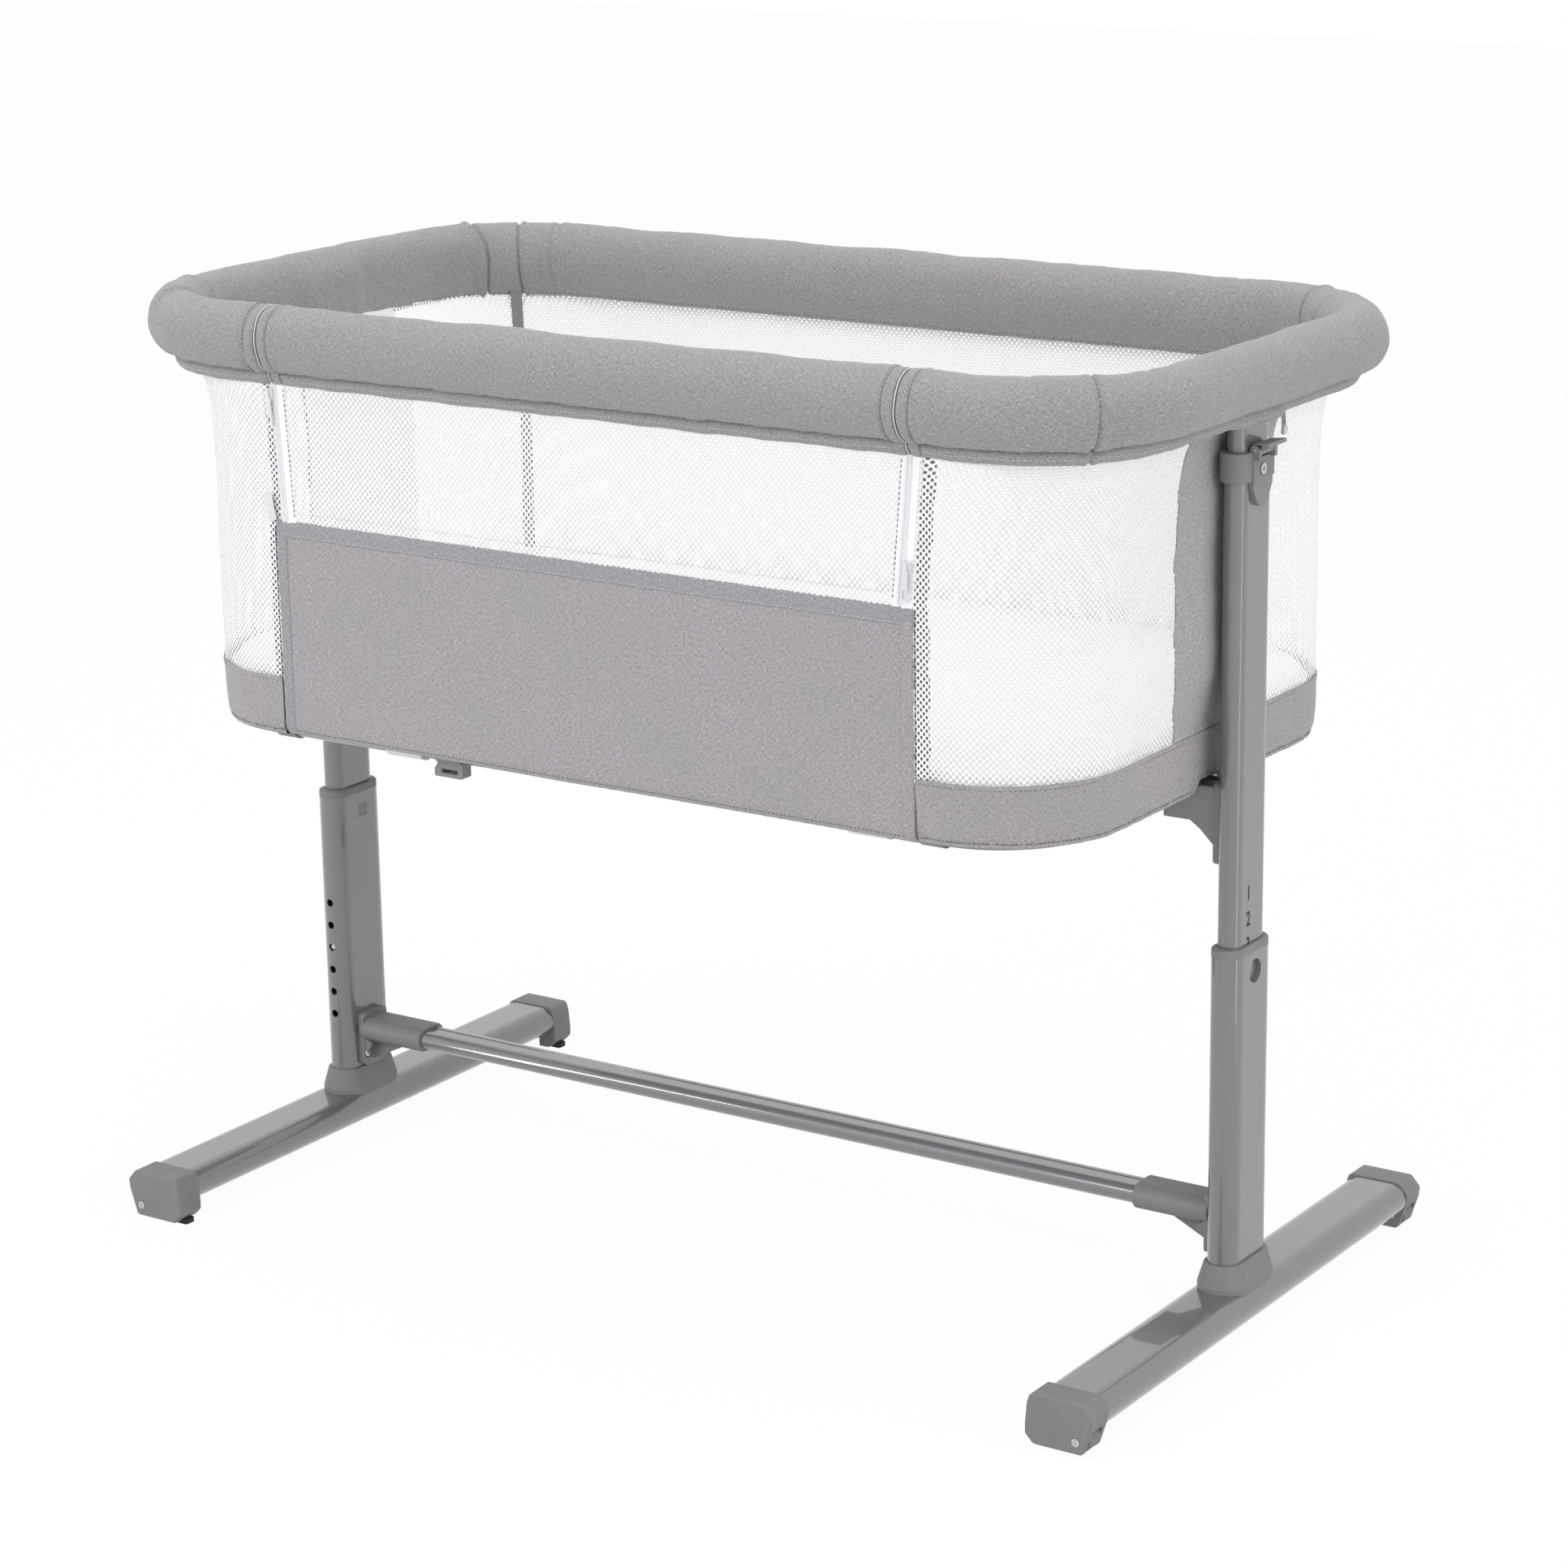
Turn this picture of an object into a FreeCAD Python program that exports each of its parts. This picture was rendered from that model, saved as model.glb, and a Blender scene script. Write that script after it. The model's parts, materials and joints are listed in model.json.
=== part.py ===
import FreeCAD, Part
import math
import os

V = FreeCAD.Vector
os.makedirs("parts", exist_ok=True)

# Bedside sleeper crib. Millimetres. Origin on the floor under the middle.
# +X runs along the crib to the right, -Y is the drop side, +Z is up.

# ---- driving dimensions -------------------------------------------------
LEG_X = 430.0          # legs stand at x = +-LEG_X, y = 0
FOOT_Y = 245.0         # foot tube ends
CAP_LEN = 25.0         # moulded end cap beyond the tube
FOOT_W = 54.0          # foot tube width (X)
FOOT_H = 26.0          # foot tube height (Z)
FOOT_Z = 27.0          # foot tube centre height
FOOT_TOP = FOOT_Z + FOOT_H / 2.0
WALL = 1.5             # steel tube wall

# clearances
SLIDE_GAP = 0.25                   # inner leg tube in its guide bush, per side
PIVOT_GAP = 0.05                   # pivot pins in their bores, radial
SOFT_GAP = 0.3                     # soft pieces beside a moving neighbour
PLUG_GAP = 0.2                     # caps and plugs in tubes, per side
SOCKET_GAP = 0.05                  # crossbar in its sockets, per side
GLIDE_GAP = 0.25                   # glide in the outer leg tube, per side

OUTER_L, OUTER_S = 62.0, 26.0      # outer leg tube, long (Y) and short (X)
OUTER_TOP = 305.0
BUSH_HEAD = 6.5                    # guide bush head above the outer tube
INNER_L, INNER_S = OUTER_L - 12.0, OUTER_S - 7.0   # inner leg tube
INNER_BOTTOM = 128.0
INNER_TOP = 684.0
HOLE_TOP_Z = 211.6                 # top height hole
HOLE_PITCH = 20.0
HOLE_COUNT = 6
LIFT_DOWN = 3 * HOLE_PITCH         # travel below the drawn height
HOLE_R = 3.3
PIN_Z = HOLE_TOP_Z - 2 * HOLE_PITCH
PIN_R = 3.0
PIN_TRAVEL = 4.0
PIN_BACK = INNER_L / 2.0 - 6.0     # rear face of the pin's flange
POST_L = INNER_L - 2 * WALL - 2.0  # rim post that stands in the inner leg tube
POST_S = INNER_S - 2 * WALL - 2 * SOFT_GAP

BAR_Z = 95.0                       # lower crossbar centre height
BAR_L, BAR_S = 30.0, 15.0          # crossbar depth (Y) and height (Z)
BAR_END = LEG_X - 41.0
SOCKET_X = BAR_END - 40.0          # mouth of the crossbar's socket
BAR_SCREW_Z = BAR_Z - 21.0

BASE_Z = 431.5                     # base frame tube centre height
BASE_R = 9.0
BASE_X, BASE_YF, BASE_YB = 386.0, -219.0, 224.0
BASE_BEND = 80.0
CLIP_TOP = 7.5                     # clips and elbows on the base tubes stay open above this height
CUFF = 1.6                         # elbow sockets around the base tubes
CLIP_T = 2.0                       # sleeves around the base tubes
BRACKET_LOW = OUTER_TOP + BUSH_HEAD + LIFT_DOWN + 0.5   # bracket stays above the bush at the lowest height
BRACKET_SCREW_Z = BRACKET_LOW + 7.0
SCREW_R = 2.5
SCREW_Y = 10.5                     # bracket screws, either side of the leg's middle
PLATE_T = 6.0                      # bracket plates
PLATE_Y = 16.0

FLOOR_Z = BASE_Z + BASE_R          # the basket's floor lies on the base frame
FLOOR_T = 1.5
BOARD_T = 3.0
SKIRT_Z = BASE_Z - 4.5             # lower edge of the cloth walls
BAND_TOP = BASE_Z + 41.5
MATTRESS_TOP = BASE_Z + 48.5
PANEL_TOP = BASE_Z + 167.5
PAD_BOTTOM = INNER_TOP + 25.0
WALL_TOP = PAD_BOTTOM - SOFT_GAP

WALL_X, WALL_YF, WALL_YB, WALL_R = BASE_X + 19.0, BASE_YF - 17.0, BASE_YB + 17.0, 97.0
FLARE = 15.0                       # the end walls lean out to the rim by this much
TUCK = 3.0                         # the cloth is drawn in at its lower edge
LEAN = 2.0                         # the front wall leans in to the rim by this much
MESH_T = 2.0
CLOTH_T = 2.5
PANEL_X = 292.0                    # half width of the front cloth panel
ZIP_LOW, ZIP_HIGH = 281.0, 289.0   # the two zips that free the drop side lean outwards
TAPE_W = 8.0
TAPE_PROUD = 0.6
STRIP_Y0, STRIP_Y1 = -62.0, 80.0   # woven strip on each end behind the leg

RIM_X, RIM_YF, RIM_YB = LEG_X + 13.5, WALL_YF + 3.5, WALL_YB - 11.0   # rim tube centre line
RIM_BEND = 108.0
RIM_Z = PAD_BOTTOM + 30.0
RIM_R = 11.0
RIM_WALL = 1.2
PAD_HALF = 24.5                    # half width of the padded rim
PAD_RISE = 29.0                    # top of the padding above the tube's middle
DROP_GAP = 1.0                     # half the gap between the drop rail and the fixed rim
TEE_Y = 29.0                       # half length of the joint between post and rim tube
TEE_WALL = 1.6
FAR = 500.0                        # reach of cutting blocks past the basket


# ---- helpers ------------------------------------------------------------
def save(name, *solids):
    shape = solids[0] if len(solids) == 1 else Part.makeCompound(list(solids))
    shape.exportStep("parts/" + name + ".step")


def oval_wire(sx, sy, cx, cy, z):
    """Flat oval outline in a level plane: two straight sides and two half circles."""
    r = min(sx, sy) / 2.0
    if sy > sx:
        h = (sy - sx) / 2.0
        a, b = V(cx + r, cy - h, z), V(cx + r, cy + h, z)
        c, d = V(cx - r, cy + h, z), V(cx - r, cy - h, z)
        top, low = V(cx, cy + h + r, z), V(cx, cy - h - r, z)
        return Part.Wire([Part.makeLine(a, b), Part.Arc(b, top, c).toShape(),
                          Part.makeLine(c, d), Part.Arc(d, low, a).toShape()])
    h = (sx - sy) / 2.0
    a, b = V(cx - h, cy - r, z), V(cx + h, cy - r, z)
    c, d = V(cx + h, cy + r, z), V(cx - h, cy + r, z)
    right, left = V(cx + h + r, cy, z), V(cx - h - r, cy, z)
    return Part.Wire([Part.makeLine(a, b), Part.Arc(b, right, c).toShape(),
                      Part.makeLine(c, d), Part.Arc(d, left, a).toShape()])


def oval_bar(sx, sy, cx, cy, z0, z1):
    return Part.Face(oval_wire(sx, sy, cx, cy, z0)).extrude(V(0, 0, z1 - z0))


def oval_tube(sx, sy, wall, cx, cy, z0, z1):
    outer = oval_wire(sx, sy, cx, cy, z0)
    inner = oval_wire(sx - 2 * wall, sy - 2 * wall, cx, cy, z0)
    face = Part.Face(outer).cut(Part.Face(inner))
    return face.extrude(V(0, 0, z1 - z0))


def round_wire(x, yf, yb, r, z):
    """Rounded rectangle from -x to x and yf to yb."""
    k = r * (1.0 - math.sqrt(0.5))
    pts = [V(-x + r, yf, z), V(x - r, yf, z), V(x, yf + r, z), V(x, yb - r, z),
           V(x - r, yb, z), V(-x + r, yb, z), V(-x, yb - r, z), V(-x, yf + r, z)]
    mids = [V(x - k, yf + k, z), V(x - k, yb - k, z), V(-x + k, yb - k, z), V(-x + k, yf + k, z)]
    edges = []
    for i in range(4):
        edges.append(Part.makeLine(pts[2 * i], pts[2 * i + 1]))
        edges.append(Part.Arc(pts[2 * i + 1], mids[i], pts[(2 * i + 2) % 8]).toShape())
    return Part.Wire(edges)


def round_plate(x, yf, yb, r, z0, z1):
    return Part.Face(round_wire(x, yf, yb, r, z0)).extrude(V(0, 0, z1 - z0))


def box(x0, x1, y0, y1, z0, z1):
    return Part.makeBox(x1 - x0, y1 - y0, z1 - z0, V(x0, y0, z0))


def rod(r, a, b):
    a, b = V(*a), V(*b)
    return Part.makeCylinder(r, (b - a).Length, a, b - a)


def polygon(points, direction):
    wire = Part.makePolygon([V(*p) for p in points] + [V(*points[0])])
    return Part.Face(wire).extrude(V(*direction))


def along(shape, axis, tol=1e-3):
    """Straight edges that run parallel to an axis."""
    out = []
    for e in shape.Edges:
        if e.Curve.TypeId == "Part::GeomLine":
            d = e.Curve.Direction
            if abs(abs(d.dot(axis)) - 1.0) < tol:
                out.append(e)
    return out


def fillet(shape, r, edges):
    return shape.makeFillet(r, edges)


def half_turn(shape):
    s = shape.copy()
    s.rotate(V(0, 0, 0), V(0, 0, 1), 180)
    return s


def mirror_x(shape):
    return shape.mirror(V(0, 0, 0), V(1, 0, 0))


def mirror_y(shape):
    return shape.mirror(V(0, 0, 0), V(0, 1, 0))


def sweep(section, x, y, heading, runs):
    """Carry a section (drawn with X as outward and Z up) along straights and level bends."""
    parts = []
    for run in runs:
        c, s = math.cos(math.radians(heading)), math.sin(math.radians(heading))
        face = section.copy()
        face.rotate(V(0, 0, 0), V(0, 0, 1), heading - 90.0)
        face.translate(V(x, y, 0))
        if run[0] == "straight":
            parts.append(face.extrude(V(c, s, 0) * run[1]))
            x, y = x + c * run[1], y + s * run[1]
        else:
            r, turn = run[1], run[2]
            cx, cy = x - s * r, y + c * r
            parts.append(face.revolve(V(cx, cy, 0), V(0, 0, 1), turn))
            heading += turn
            c2, s2 = math.cos(math.radians(heading)), math.sin(math.radians(heading))
            x, y = cx + s2 * r, cy - c2 * r
    solid = parts[0] if len(parts) == 1 else parts[0].multiFuse(parts[1:])
    return solid.removeSplitter()


def ring_section(r_out, r_in, z):
    outer = Part.Wire(Part.makeCircle(r_out, V(0, 0, z), V(0, 1, 0)))
    if not r_in:
        return Part.Face(outer)
    inner = Part.Wire(Part.makeCircle(r_in, V(0, 0, z), V(0, 1, 0)))
    return Part.Face(outer).cut(Part.Face(inner))


# ---- stand --------------------------------------------------------------
def foot_tube(cx):
    shape = oval_tube(FOOT_W, FOOT_H, WALL, 0, 0, -FOOT_Y, FOOT_Y)
    shape.rotate(V(0, 0, 0), V(1, 0, 0), -90)
    shape.translate(V(cx, 0, FOOT_Z))
    return shape


def foot_bar(cx, grow):
    shape = oval_bar(FOOT_W + 2 * grow, FOOT_H + 2 * grow, 0, 0, -FOOT_Y, FOOT_Y)
    shape.rotate(V(0, 0, 0), V(1, 0, 0), -90)
    shape.translate(V(cx, 0, FOOT_Z))
    return shape


ROLLER_R = 9.5
AXLE_R = 2.0
AXLE_X, AXLE_Z = LEG_X + FOOT_W / 2.0 - 12.4, ROLLER_R + 2.0   # roller axle, right foot
CAP_Y0 = -FOOT_Y - CAP_LEN
SLOT_Y0, SLOT_Y1 = CAP_Y0 + 4.5, -FOOT_Y - 4.5
PAD_H = 4.0                        # rubber foot pad
PAD_X0, PAD_X1 = LEG_X - FOOT_W / 2.0 - 0.4, LEG_X - FOOT_W / 2.0 + 15.0
HEAD_R = 3.2                       # roller screw head


def foot_cap():
    """Front cap of the right foot: it plugs the tube, leans out at the floor on the inner
    side and is cut away on the outer side for the roller."""
    lo, hi = LEG_X - FOOT_W / 2.0, LEG_X + FOOT_W / 2.0
    outline = [(lo + 3, FOOT_TOP + 1), (hi - 7, FOOT_TOP + 1), (hi + 1, FOOT_TOP - 8), (hi, FOOT_TOP - 16),
               (hi - 7, 2), (lo + 6, 2), (lo - 1, 9), (lo - 1, 17), (lo + 0.5, FOOT_TOP - 7)]
    body = polygon([(x, CAP_Y0, z) for x, z in outline], (0, CAP_LEN, 0))
    body = fillet(body, 4.0, along(body, V(0, 1, 0)))
    rim = [e for e in body.Edges if abs(e.BoundBox.YMin - CAP_Y0) < 0.01 and abs(e.BoundBox.YMax - CAP_Y0) < 0.01]
    body = body.makeFillet(1.5, rim)
    bore = 2 * (WALL + PLUG_GAP)
    plug = oval_bar(FOOT_W - bore, FOOT_H - bore, 0, 0, 0, CAP_LEN - 5)
    plug.rotate(V(0, 0, 0), V(1, 0, 0), -90)
    plug.translate(V(LEG_X, -FOOT_Y, FOOT_Z))
    well = rod(ROLLER_R + 1.2, (AXLE_X, SLOT_Y0, AXLE_Z), (AXLE_X, SLOT_Y1, AXLE_Z))
    mouth = box(AXLE_X, hi + 20, SLOT_Y0, SLOT_Y1, -5, AXLE_Z + ROLLER_R - 1)
    under = box(AXLE_X - ROLLER_R + 0.5, hi + 20, SLOT_Y0, SLOT_Y1, -5, AXLE_Z)
    axle = rod(AXLE_R, (AXLE_X, CAP_Y0 - 1, AXLE_Z), (AXLE_X, -FOOT_Y + 1, AXLE_Z))
    sink = rod(HEAD_R + PLUG_GAP, (AXLE_X, CAP_Y0 - 1, AXLE_Z), (AXLE_X, CAP_Y0 + 1.2, AXLE_Z))
    pad = box(PAD_X0 - 5, PAD_X1 + SOFT_GAP, CAP_Y0 + 7, CAP_Y0 + 18, -1, PAD_H)
    core = box(LEG_X - 10, LEG_X + 4, CAP_Y0 + 3, -FOOT_Y + 1, -1, AXLE_Z + 1.5)
    return body.fuse(plug).cut(well).cut(mouth).cut(under).cut(axle).cut(sink).cut(pad).cut(core)


def roller():
    wheel = rod(ROLLER_R, (AXLE_X, SLOT_Y0 + 0.5, AXLE_Z), (AXLE_X, SLOT_Y1 - 0.5, AXLE_Z))
    wheel = wheel.makeFillet(1.2, [e for e in wheel.Edges if e.Curve.TypeId == "Part::GeomCircle"])
    return wheel.cut(rod(AXLE_R + PIVOT_GAP, (AXLE_X, CAP_Y0, AXLE_Z), (AXLE_X, 0, AXLE_Z)))


def roller_screw():
    shank = rod(AXLE_R, (AXLE_X, CAP_Y0 + 1.2, AXLE_Z), (AXLE_X, -FOOT_Y - 0.5, AXLE_Z))
    head = rod(HEAD_R, (AXLE_X, CAP_Y0 - 0.4, AXLE_Z), (AXLE_X, CAP_Y0 + 1.2, AXLE_Z))
    arm = HEAD_R - 1.0
    drive = box(AXLE_X - arm, AXLE_X + arm, CAP_Y0 - 1, CAP_Y0 + 0.3, AXLE_Z - 0.4, AXLE_Z + 0.4)
    cross = box(AXLE_X - 0.4, AXLE_X + 0.4, CAP_Y0 - 1, CAP_Y0 + 0.3, AXLE_Z - arm, AXLE_Z + arm)
    return head.fuse(shank).cut(drive).cut(cross)


def rubber_pad():
    pad = box(PAD_X0, PAD_X1, CAP_Y0 + 7 + SOFT_GAP, CAP_Y0 + 18 - SOFT_GAP, 0, PAD_H)
    return fillet(pad, 2.0, along(pad, V(0, 0, 1)))


def four(make):
    a = make()
    b = mirror_y(a)
    return [mirror_x(a), a, mirror_x(b), b]


save("foot_tube_left", foot_tube(-LEG_X))
save("foot_tube_right", foot_tube(LEG_X))
caps = four(foot_cap)
save("front_foot_caps", caps[0], caps[1])
save("back_foot_caps", caps[2], caps[3])
for name, wheel in zip(("front_left", "front_right", "back_left", "back_right"), four(roller)):
    save("roller_" + name, wheel)
save("roller_axle_screws", *four(roller_screw))
save("rubber_foot_pads", *four(rubber_pad))


def foot_collar():
    z0, z1, z2 = FOOT_TOP - 6, FOOT_TOP + 4, FOOT_TOP + 21
    low = oval_wire(OUTER_S + 16, OUTER_L + 14, LEG_X, 0, z0)
    mid = oval_wire(OUTER_S + 16, OUTER_L + 14, LEG_X, 0, z1)
    top = oval_wire(OUTER_S + 5, OUTER_L + 5, LEG_X, 0, z2)
    body = Part.makeLoft([low, mid], True, True).fuse(Part.makeLoft([mid, top], True, True)).removeSplitter()
    upper = [e for e in body.Edges if abs(e.BoundBox.ZMin - z2) < 0.01]
    body = body.makeFillet(1.5, upper)
    body = body.cut(foot_bar(LEG_X, 0.0))
    return body.cut(oval_bar(OUTER_S, OUTER_L, LEG_X, 0, FOOT_Z, z2 + 10))


base_collar = foot_collar()
save("foot_collars", half_turn(base_collar), base_collar)

WINDOW_Z = OUTER_TOP - 15.0        # level window in the outer tube
WINDOW_R = 9.3
TAB_Z, TAB_Y = WINDOW_Z - 1.0, -3.0
TAB_HALF = 4.9                     # snap tab of the bush in its square hole


def outer_leg():
    """Right outer tube: height holes in the back narrow side, level window in the outer face."""
    tube = oval_tube(OUTER_S, OUTER_L, WALL, LEG_X, 0, FOOT_TOP, OUTER_TOP)
    for i in range(HOLE_COUNT):
        z = HOLE_TOP_Z - i * HOLE_PITCH
        tube = tube.cut(rod(HOLE_R, (LEG_X, OUTER_L / 2 - 6, z), (LEG_X, OUTER_L / 2 + 2, z)))
    side = OUTER_S / 2.0
    tube = tube.cut(rod(WINDOW_R, (LEG_X + side - 5, 0, WINDOW_Z), (LEG_X + side + 7, 0, WINDOW_Z)))
    hole = TAB_HALF + SOFT_GAP
    return tube.cut(box(LEG_X - side - 7, LEG_X - side + 5, TAB_Y - hole, TAB_Y + hole, TAB_Z - hole, TAB_Z + hole))


right_outer = outer_leg()
save("outer_leg_tube_right", right_outer)
save("outer_leg_tube_left", half_turn(right_outer))


def guide_bush():
    """Liner inside the outer tube with a head on its mouth; a snap tab fills the square hole."""
    liner = oval_bar(OUTER_S - 2 * WALL, OUTER_L - 2 * WALL, LEG_X, 0, OUTER_TOP - 43, OUTER_TOP)
    head = oval_bar(OUTER_S, OUTER_L, LEG_X, 0, OUTER_TOP, OUTER_TOP + BUSH_HEAD)
    head = head.makeFillet(2.0, [e for e in head.Edges if e.BoundBox.ZMin > OUTER_TOP + BUSH_HEAD - 0.5])
    side = OUTER_S / 2.0
    tab = box(LEG_X - side, LEG_X - side + 3, TAB_Y - TAB_HALF, TAB_Y + TAB_HALF, TAB_Z - TAB_HALF, TAB_Z + TAB_HALF)
    window = rod(WINDOW_R, (LEG_X + side - 7, 0, WINDOW_Z), (LEG_X + side + 7, 0, WINDOW_Z))
    bore = oval_bar(INNER_S + 2 * SLIDE_GAP, INNER_L + 2 * SLIDE_GAP, LEG_X, 0, OUTER_TOP - 50, OUTER_TOP + BUSH_HEAD + 8)
    return liner.fuse(head).fuse(tab).cut(window).cut(bore)


right_bush = guide_bush()
save("guide_bush_right", right_bush)
save("guide_bush_left", half_turn(right_bush))


def screw_holes(body, face, z):
    """Clearance holes with sinks for the two bracket screws, driven outwards into the leg."""
    for y in (-SCREW_Y, SCREW_Y):
        body = body.cut(rod(SCREW_R, (face - 30, y, z), (face + 1, y, z)))
        body = body.cut(rod(2 * SCREW_R, (face - 30, y, z), (face - 4, y, z)))
    return body


def lower_bracket():
    face = LEG_X - OUTER_S / 2
    plate = box(face - PLATE_T, face, -PLATE_Y, PLATE_Y, BAR_Z - 33, BAR_Z + 15)
    plate = fillet(plate, 5.0, along(plate, V(1, 0, 0)))
    sleeve = oval_bar(BAR_S + 6, BAR_L + 6, 0, 0, 0, face - 3 - SOCKET_X)
    sleeve = sleeve.makeFillet(1.5, [e for e in sleeve.Edges if abs(e.BoundBox.ZMax) < 0.01])
    sleeve.rotate(V(0, 0, 0), V(0, 1, 0), 90)
    sleeve.translate(V(SOCKET_X, 0, BAR_Z))
    web = polygon([(face - 5, -4, BAR_Z - 29), (face - 5, -4, BAR_Z - 5), (SOCKET_X + 17, -4, BAR_Z - 7)], (0, 8, 0))
    ribs = []
    for y in (1 - PLATE_Y, PLATE_Y - 4):
        ribs.append(polygon([(face - 5, y, BAR_Z - 27), (face - 5, y, BAR_Z - 7), (face - 13, y, BAR_Z - 11)], (0, 3, 0)))
    bore = oval_bar(BAR_S + 2 * SOCKET_GAP, BAR_L + 2 * SOCKET_GAP, 0, 0, 0, BAR_END + 2 - SOCKET_X)
    bore.rotate(V(0, 0, 0), V(0, 1, 0), 90)
    bore.translate(V(SOCKET_X - 1, 0, BAR_Z))
    body = plate.fuse(sleeve).fuse(web).fuse(ribs[0]).fuse(ribs[1]).removeSplitter().cut(bore)
    return screw_holes(body, face, BAR_SCREW_Z)


def bracket_screw(face, y, z):
    """Pan-head screw driven outwards (+X) with its head on the bracket."""
    head = rod(4.2, (face - 6.2, y, z), (face - 4, y, z))
    head = head.makeFillet(1.0, [e for e in head.Edges if e.BoundBox.XMax < face - 6])
    slot = box(face - 7, face - 5.2, y - 0.4, y + 0.4, z - 2.4, z + 2.4)
    bar = box(face - 7, face - 5.2, y - 2.4, y + 2.4, z - 0.4, z + 0.4)
    return head.fuse(rod(SCREW_R, (face - 4, y, z), (face, y, z))).cut(slot).cut(bar)


right_lower = lower_bracket()
save("lower_brackets", half_turn(right_lower), right_lower)
lower_screws = [bracket_screw(LEG_X - OUTER_S / 2, y, BAR_SCREW_Z) for y in (-SCREW_Y, SCREW_Y)]
save("lower_bracket_screws", *(lower_screws + [half_turn(s) for s in lower_screws]))

bar = oval_bar(BAR_S, BAR_L, 0, 0, -BAR_END, BAR_END)
inside = oval_bar(BAR_S - 2.6, BAR_L - 2.6, 0, 0, -BAR_END - 5, BAR_END + 5)
groove = box(-BAR_S / 2 - 0.5, -BAR_S / 2 + 0.6, -5, 5, -SOCKET_X, SOCKET_X)
bar = bar.cut(inside).cut(groove)
bar.rotate(V(0, 0, 0), V(0, 1, 0), 90)
bar.translate(V(0, 0, BAR_Z))
save("lower_crossbar", bar)


# ---- lifting legs -------------------------------------------------------
COLLAR_SCREW_Z = INNER_TOP - 12.0


def inner_leg():
    tube = oval_tube(INNER_S, INNER_L, WALL, LEG_X, 0, INNER_BOTTOM, INNER_TOP)
    tube = tube.cut(rod(PIN_R + PIVOT_GAP, (LEG_X, INNER_L / 2 - 10, PIN_Z), (LEG_X, INNER_L / 2 + 15, PIN_Z)))
    side = INNER_S / 2.0
    for y in (-SCREW_Y, SCREW_Y):
        tube = tube.cut(rod(SCREW_R, (LEG_X - side - 5, y, BRACKET_SCREW_Z), (LEG_X - side + 5, y, BRACKET_SCREW_Z)))
    return tube.cut(rod(SCREW_R, (LEG_X + side - 5, 0, COLLAR_SCREW_Z), (LEG_X + side + 5, 0, COLLAR_SCREW_Z)))


right_inner = inner_leg()
save("inner_leg_tube_right", right_inner)
save("inner_leg_tube_left", half_turn(right_inner))


def leg_glide():
    """Foot of the inner tube: it fills the bore of the outer tube so that the leg can't rock."""
    bore = 2 * (WALL + GLIDE_GAP)
    shoe = oval_bar(OUTER_S - bore, OUTER_L - bore, LEG_X, 0, INNER_BOTTOM - 12, INNER_BOTTOM)
    shoe = shoe.makeChamfer(1.5, [e for e in shoe.Edges if e.BoundBox.ZMax < INNER_BOTTOM - 11])
    neck = oval_bar(INNER_S - 2 * WALL, INNER_L - 2 * WALL, LEG_X, 0, INNER_BOTTOM, INNER_BOTTOM + 18)
    return shoe.fuse(neck).cut(oval_bar(INNER_S - 8, INNER_L - 10, LEG_X, 0, INNER_BOTTOM - 18, INNER_BOTTOM + 22))


right_glide = leg_glide()
save("inner_leg_glides", half_turn(right_glide), right_glide)


def height_pin():
    """Snap pin of the right leg: it points backwards into the height holes."""
    tip = OUTER_L / 2 - WALL - 0.4
    pin = rod(PIN_R, (LEG_X, PIN_BACK + 2, PIN_Z), (LEG_X, tip, PIN_Z))
    pin = pin.makeFillet(1.2, [e for e in pin.Edges if e.BoundBox.YMin > tip - 0.1])
    return pin.fuse(rod(4.6, (LEG_X, PIN_BACK, PIN_Z), (LEG_X, PIN_BACK + 2, PIN_Z)))


def pin_spring():
    """Bent leaf behind the pin, drawn where it lies when the pin is pressed."""
    t, half = 0.8, 4.0
    inner_r = INNER_S / 2.0 - WALL
    reach = (INNER_L - INNER_S) / 2.0 + math.sqrt(inner_r ** 2 - half ** 2)
    y0, y1 = SOFT_GAP - reach, PIN_BACK - PIN_TRAVEL - SOFT_GAP
    mid, r = (y0 + y1) / 2.0, (y1 - y0) / 2.0
    top = PIN_Z + 34
    arm = box(LEG_X - half, LEG_X + half, y1 - t, y1, PIN_Z - 10, top)
    back = box(LEG_X - half, LEG_X + half, y0, y0 + t, PIN_Z - 10, top)
    bend = rod(r, (LEG_X - half, mid, top), (LEG_X + half, mid, top))
    bend = bend.cut(rod(r - t, (LEG_X - 5, mid, top), (LEG_X + 5, mid, top)))
    bend = bend.cut(box(LEG_X - 5, LEG_X + 5, -30, 30, PIN_Z - 10, top))
    return arm.fuse(back).fuse(bend).removeSplitter()


right_pin = height_pin()
save("height_pin_right", right_pin)
save("height_pin_left", half_turn(right_pin))
right_spring = pin_spring()
save("pin_springs", half_turn(right_spring), right_spring)

COLLAR_Z0, COLLAR_Z1 = INNER_TOP - 20.0, INNER_TOP + 2.0
COLLAR_T = 2.75                    # collar wall around the inner tube
LOBE_X = LEG_X + INNER_S / 2.0 + 3.5         # outer face of the screw lobe
BARREL_R = 4.0
LATCH_X, LATCH_Z = LEG_X + INNER_S / 2.0 + 3.7, INNER_TOP + 3.0   # latch lever pivot, right leg
PIVOT_R = 1.5
EAR_Y = 14.0                       # outer faces of the ears
EAR_T = 4.0


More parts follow.
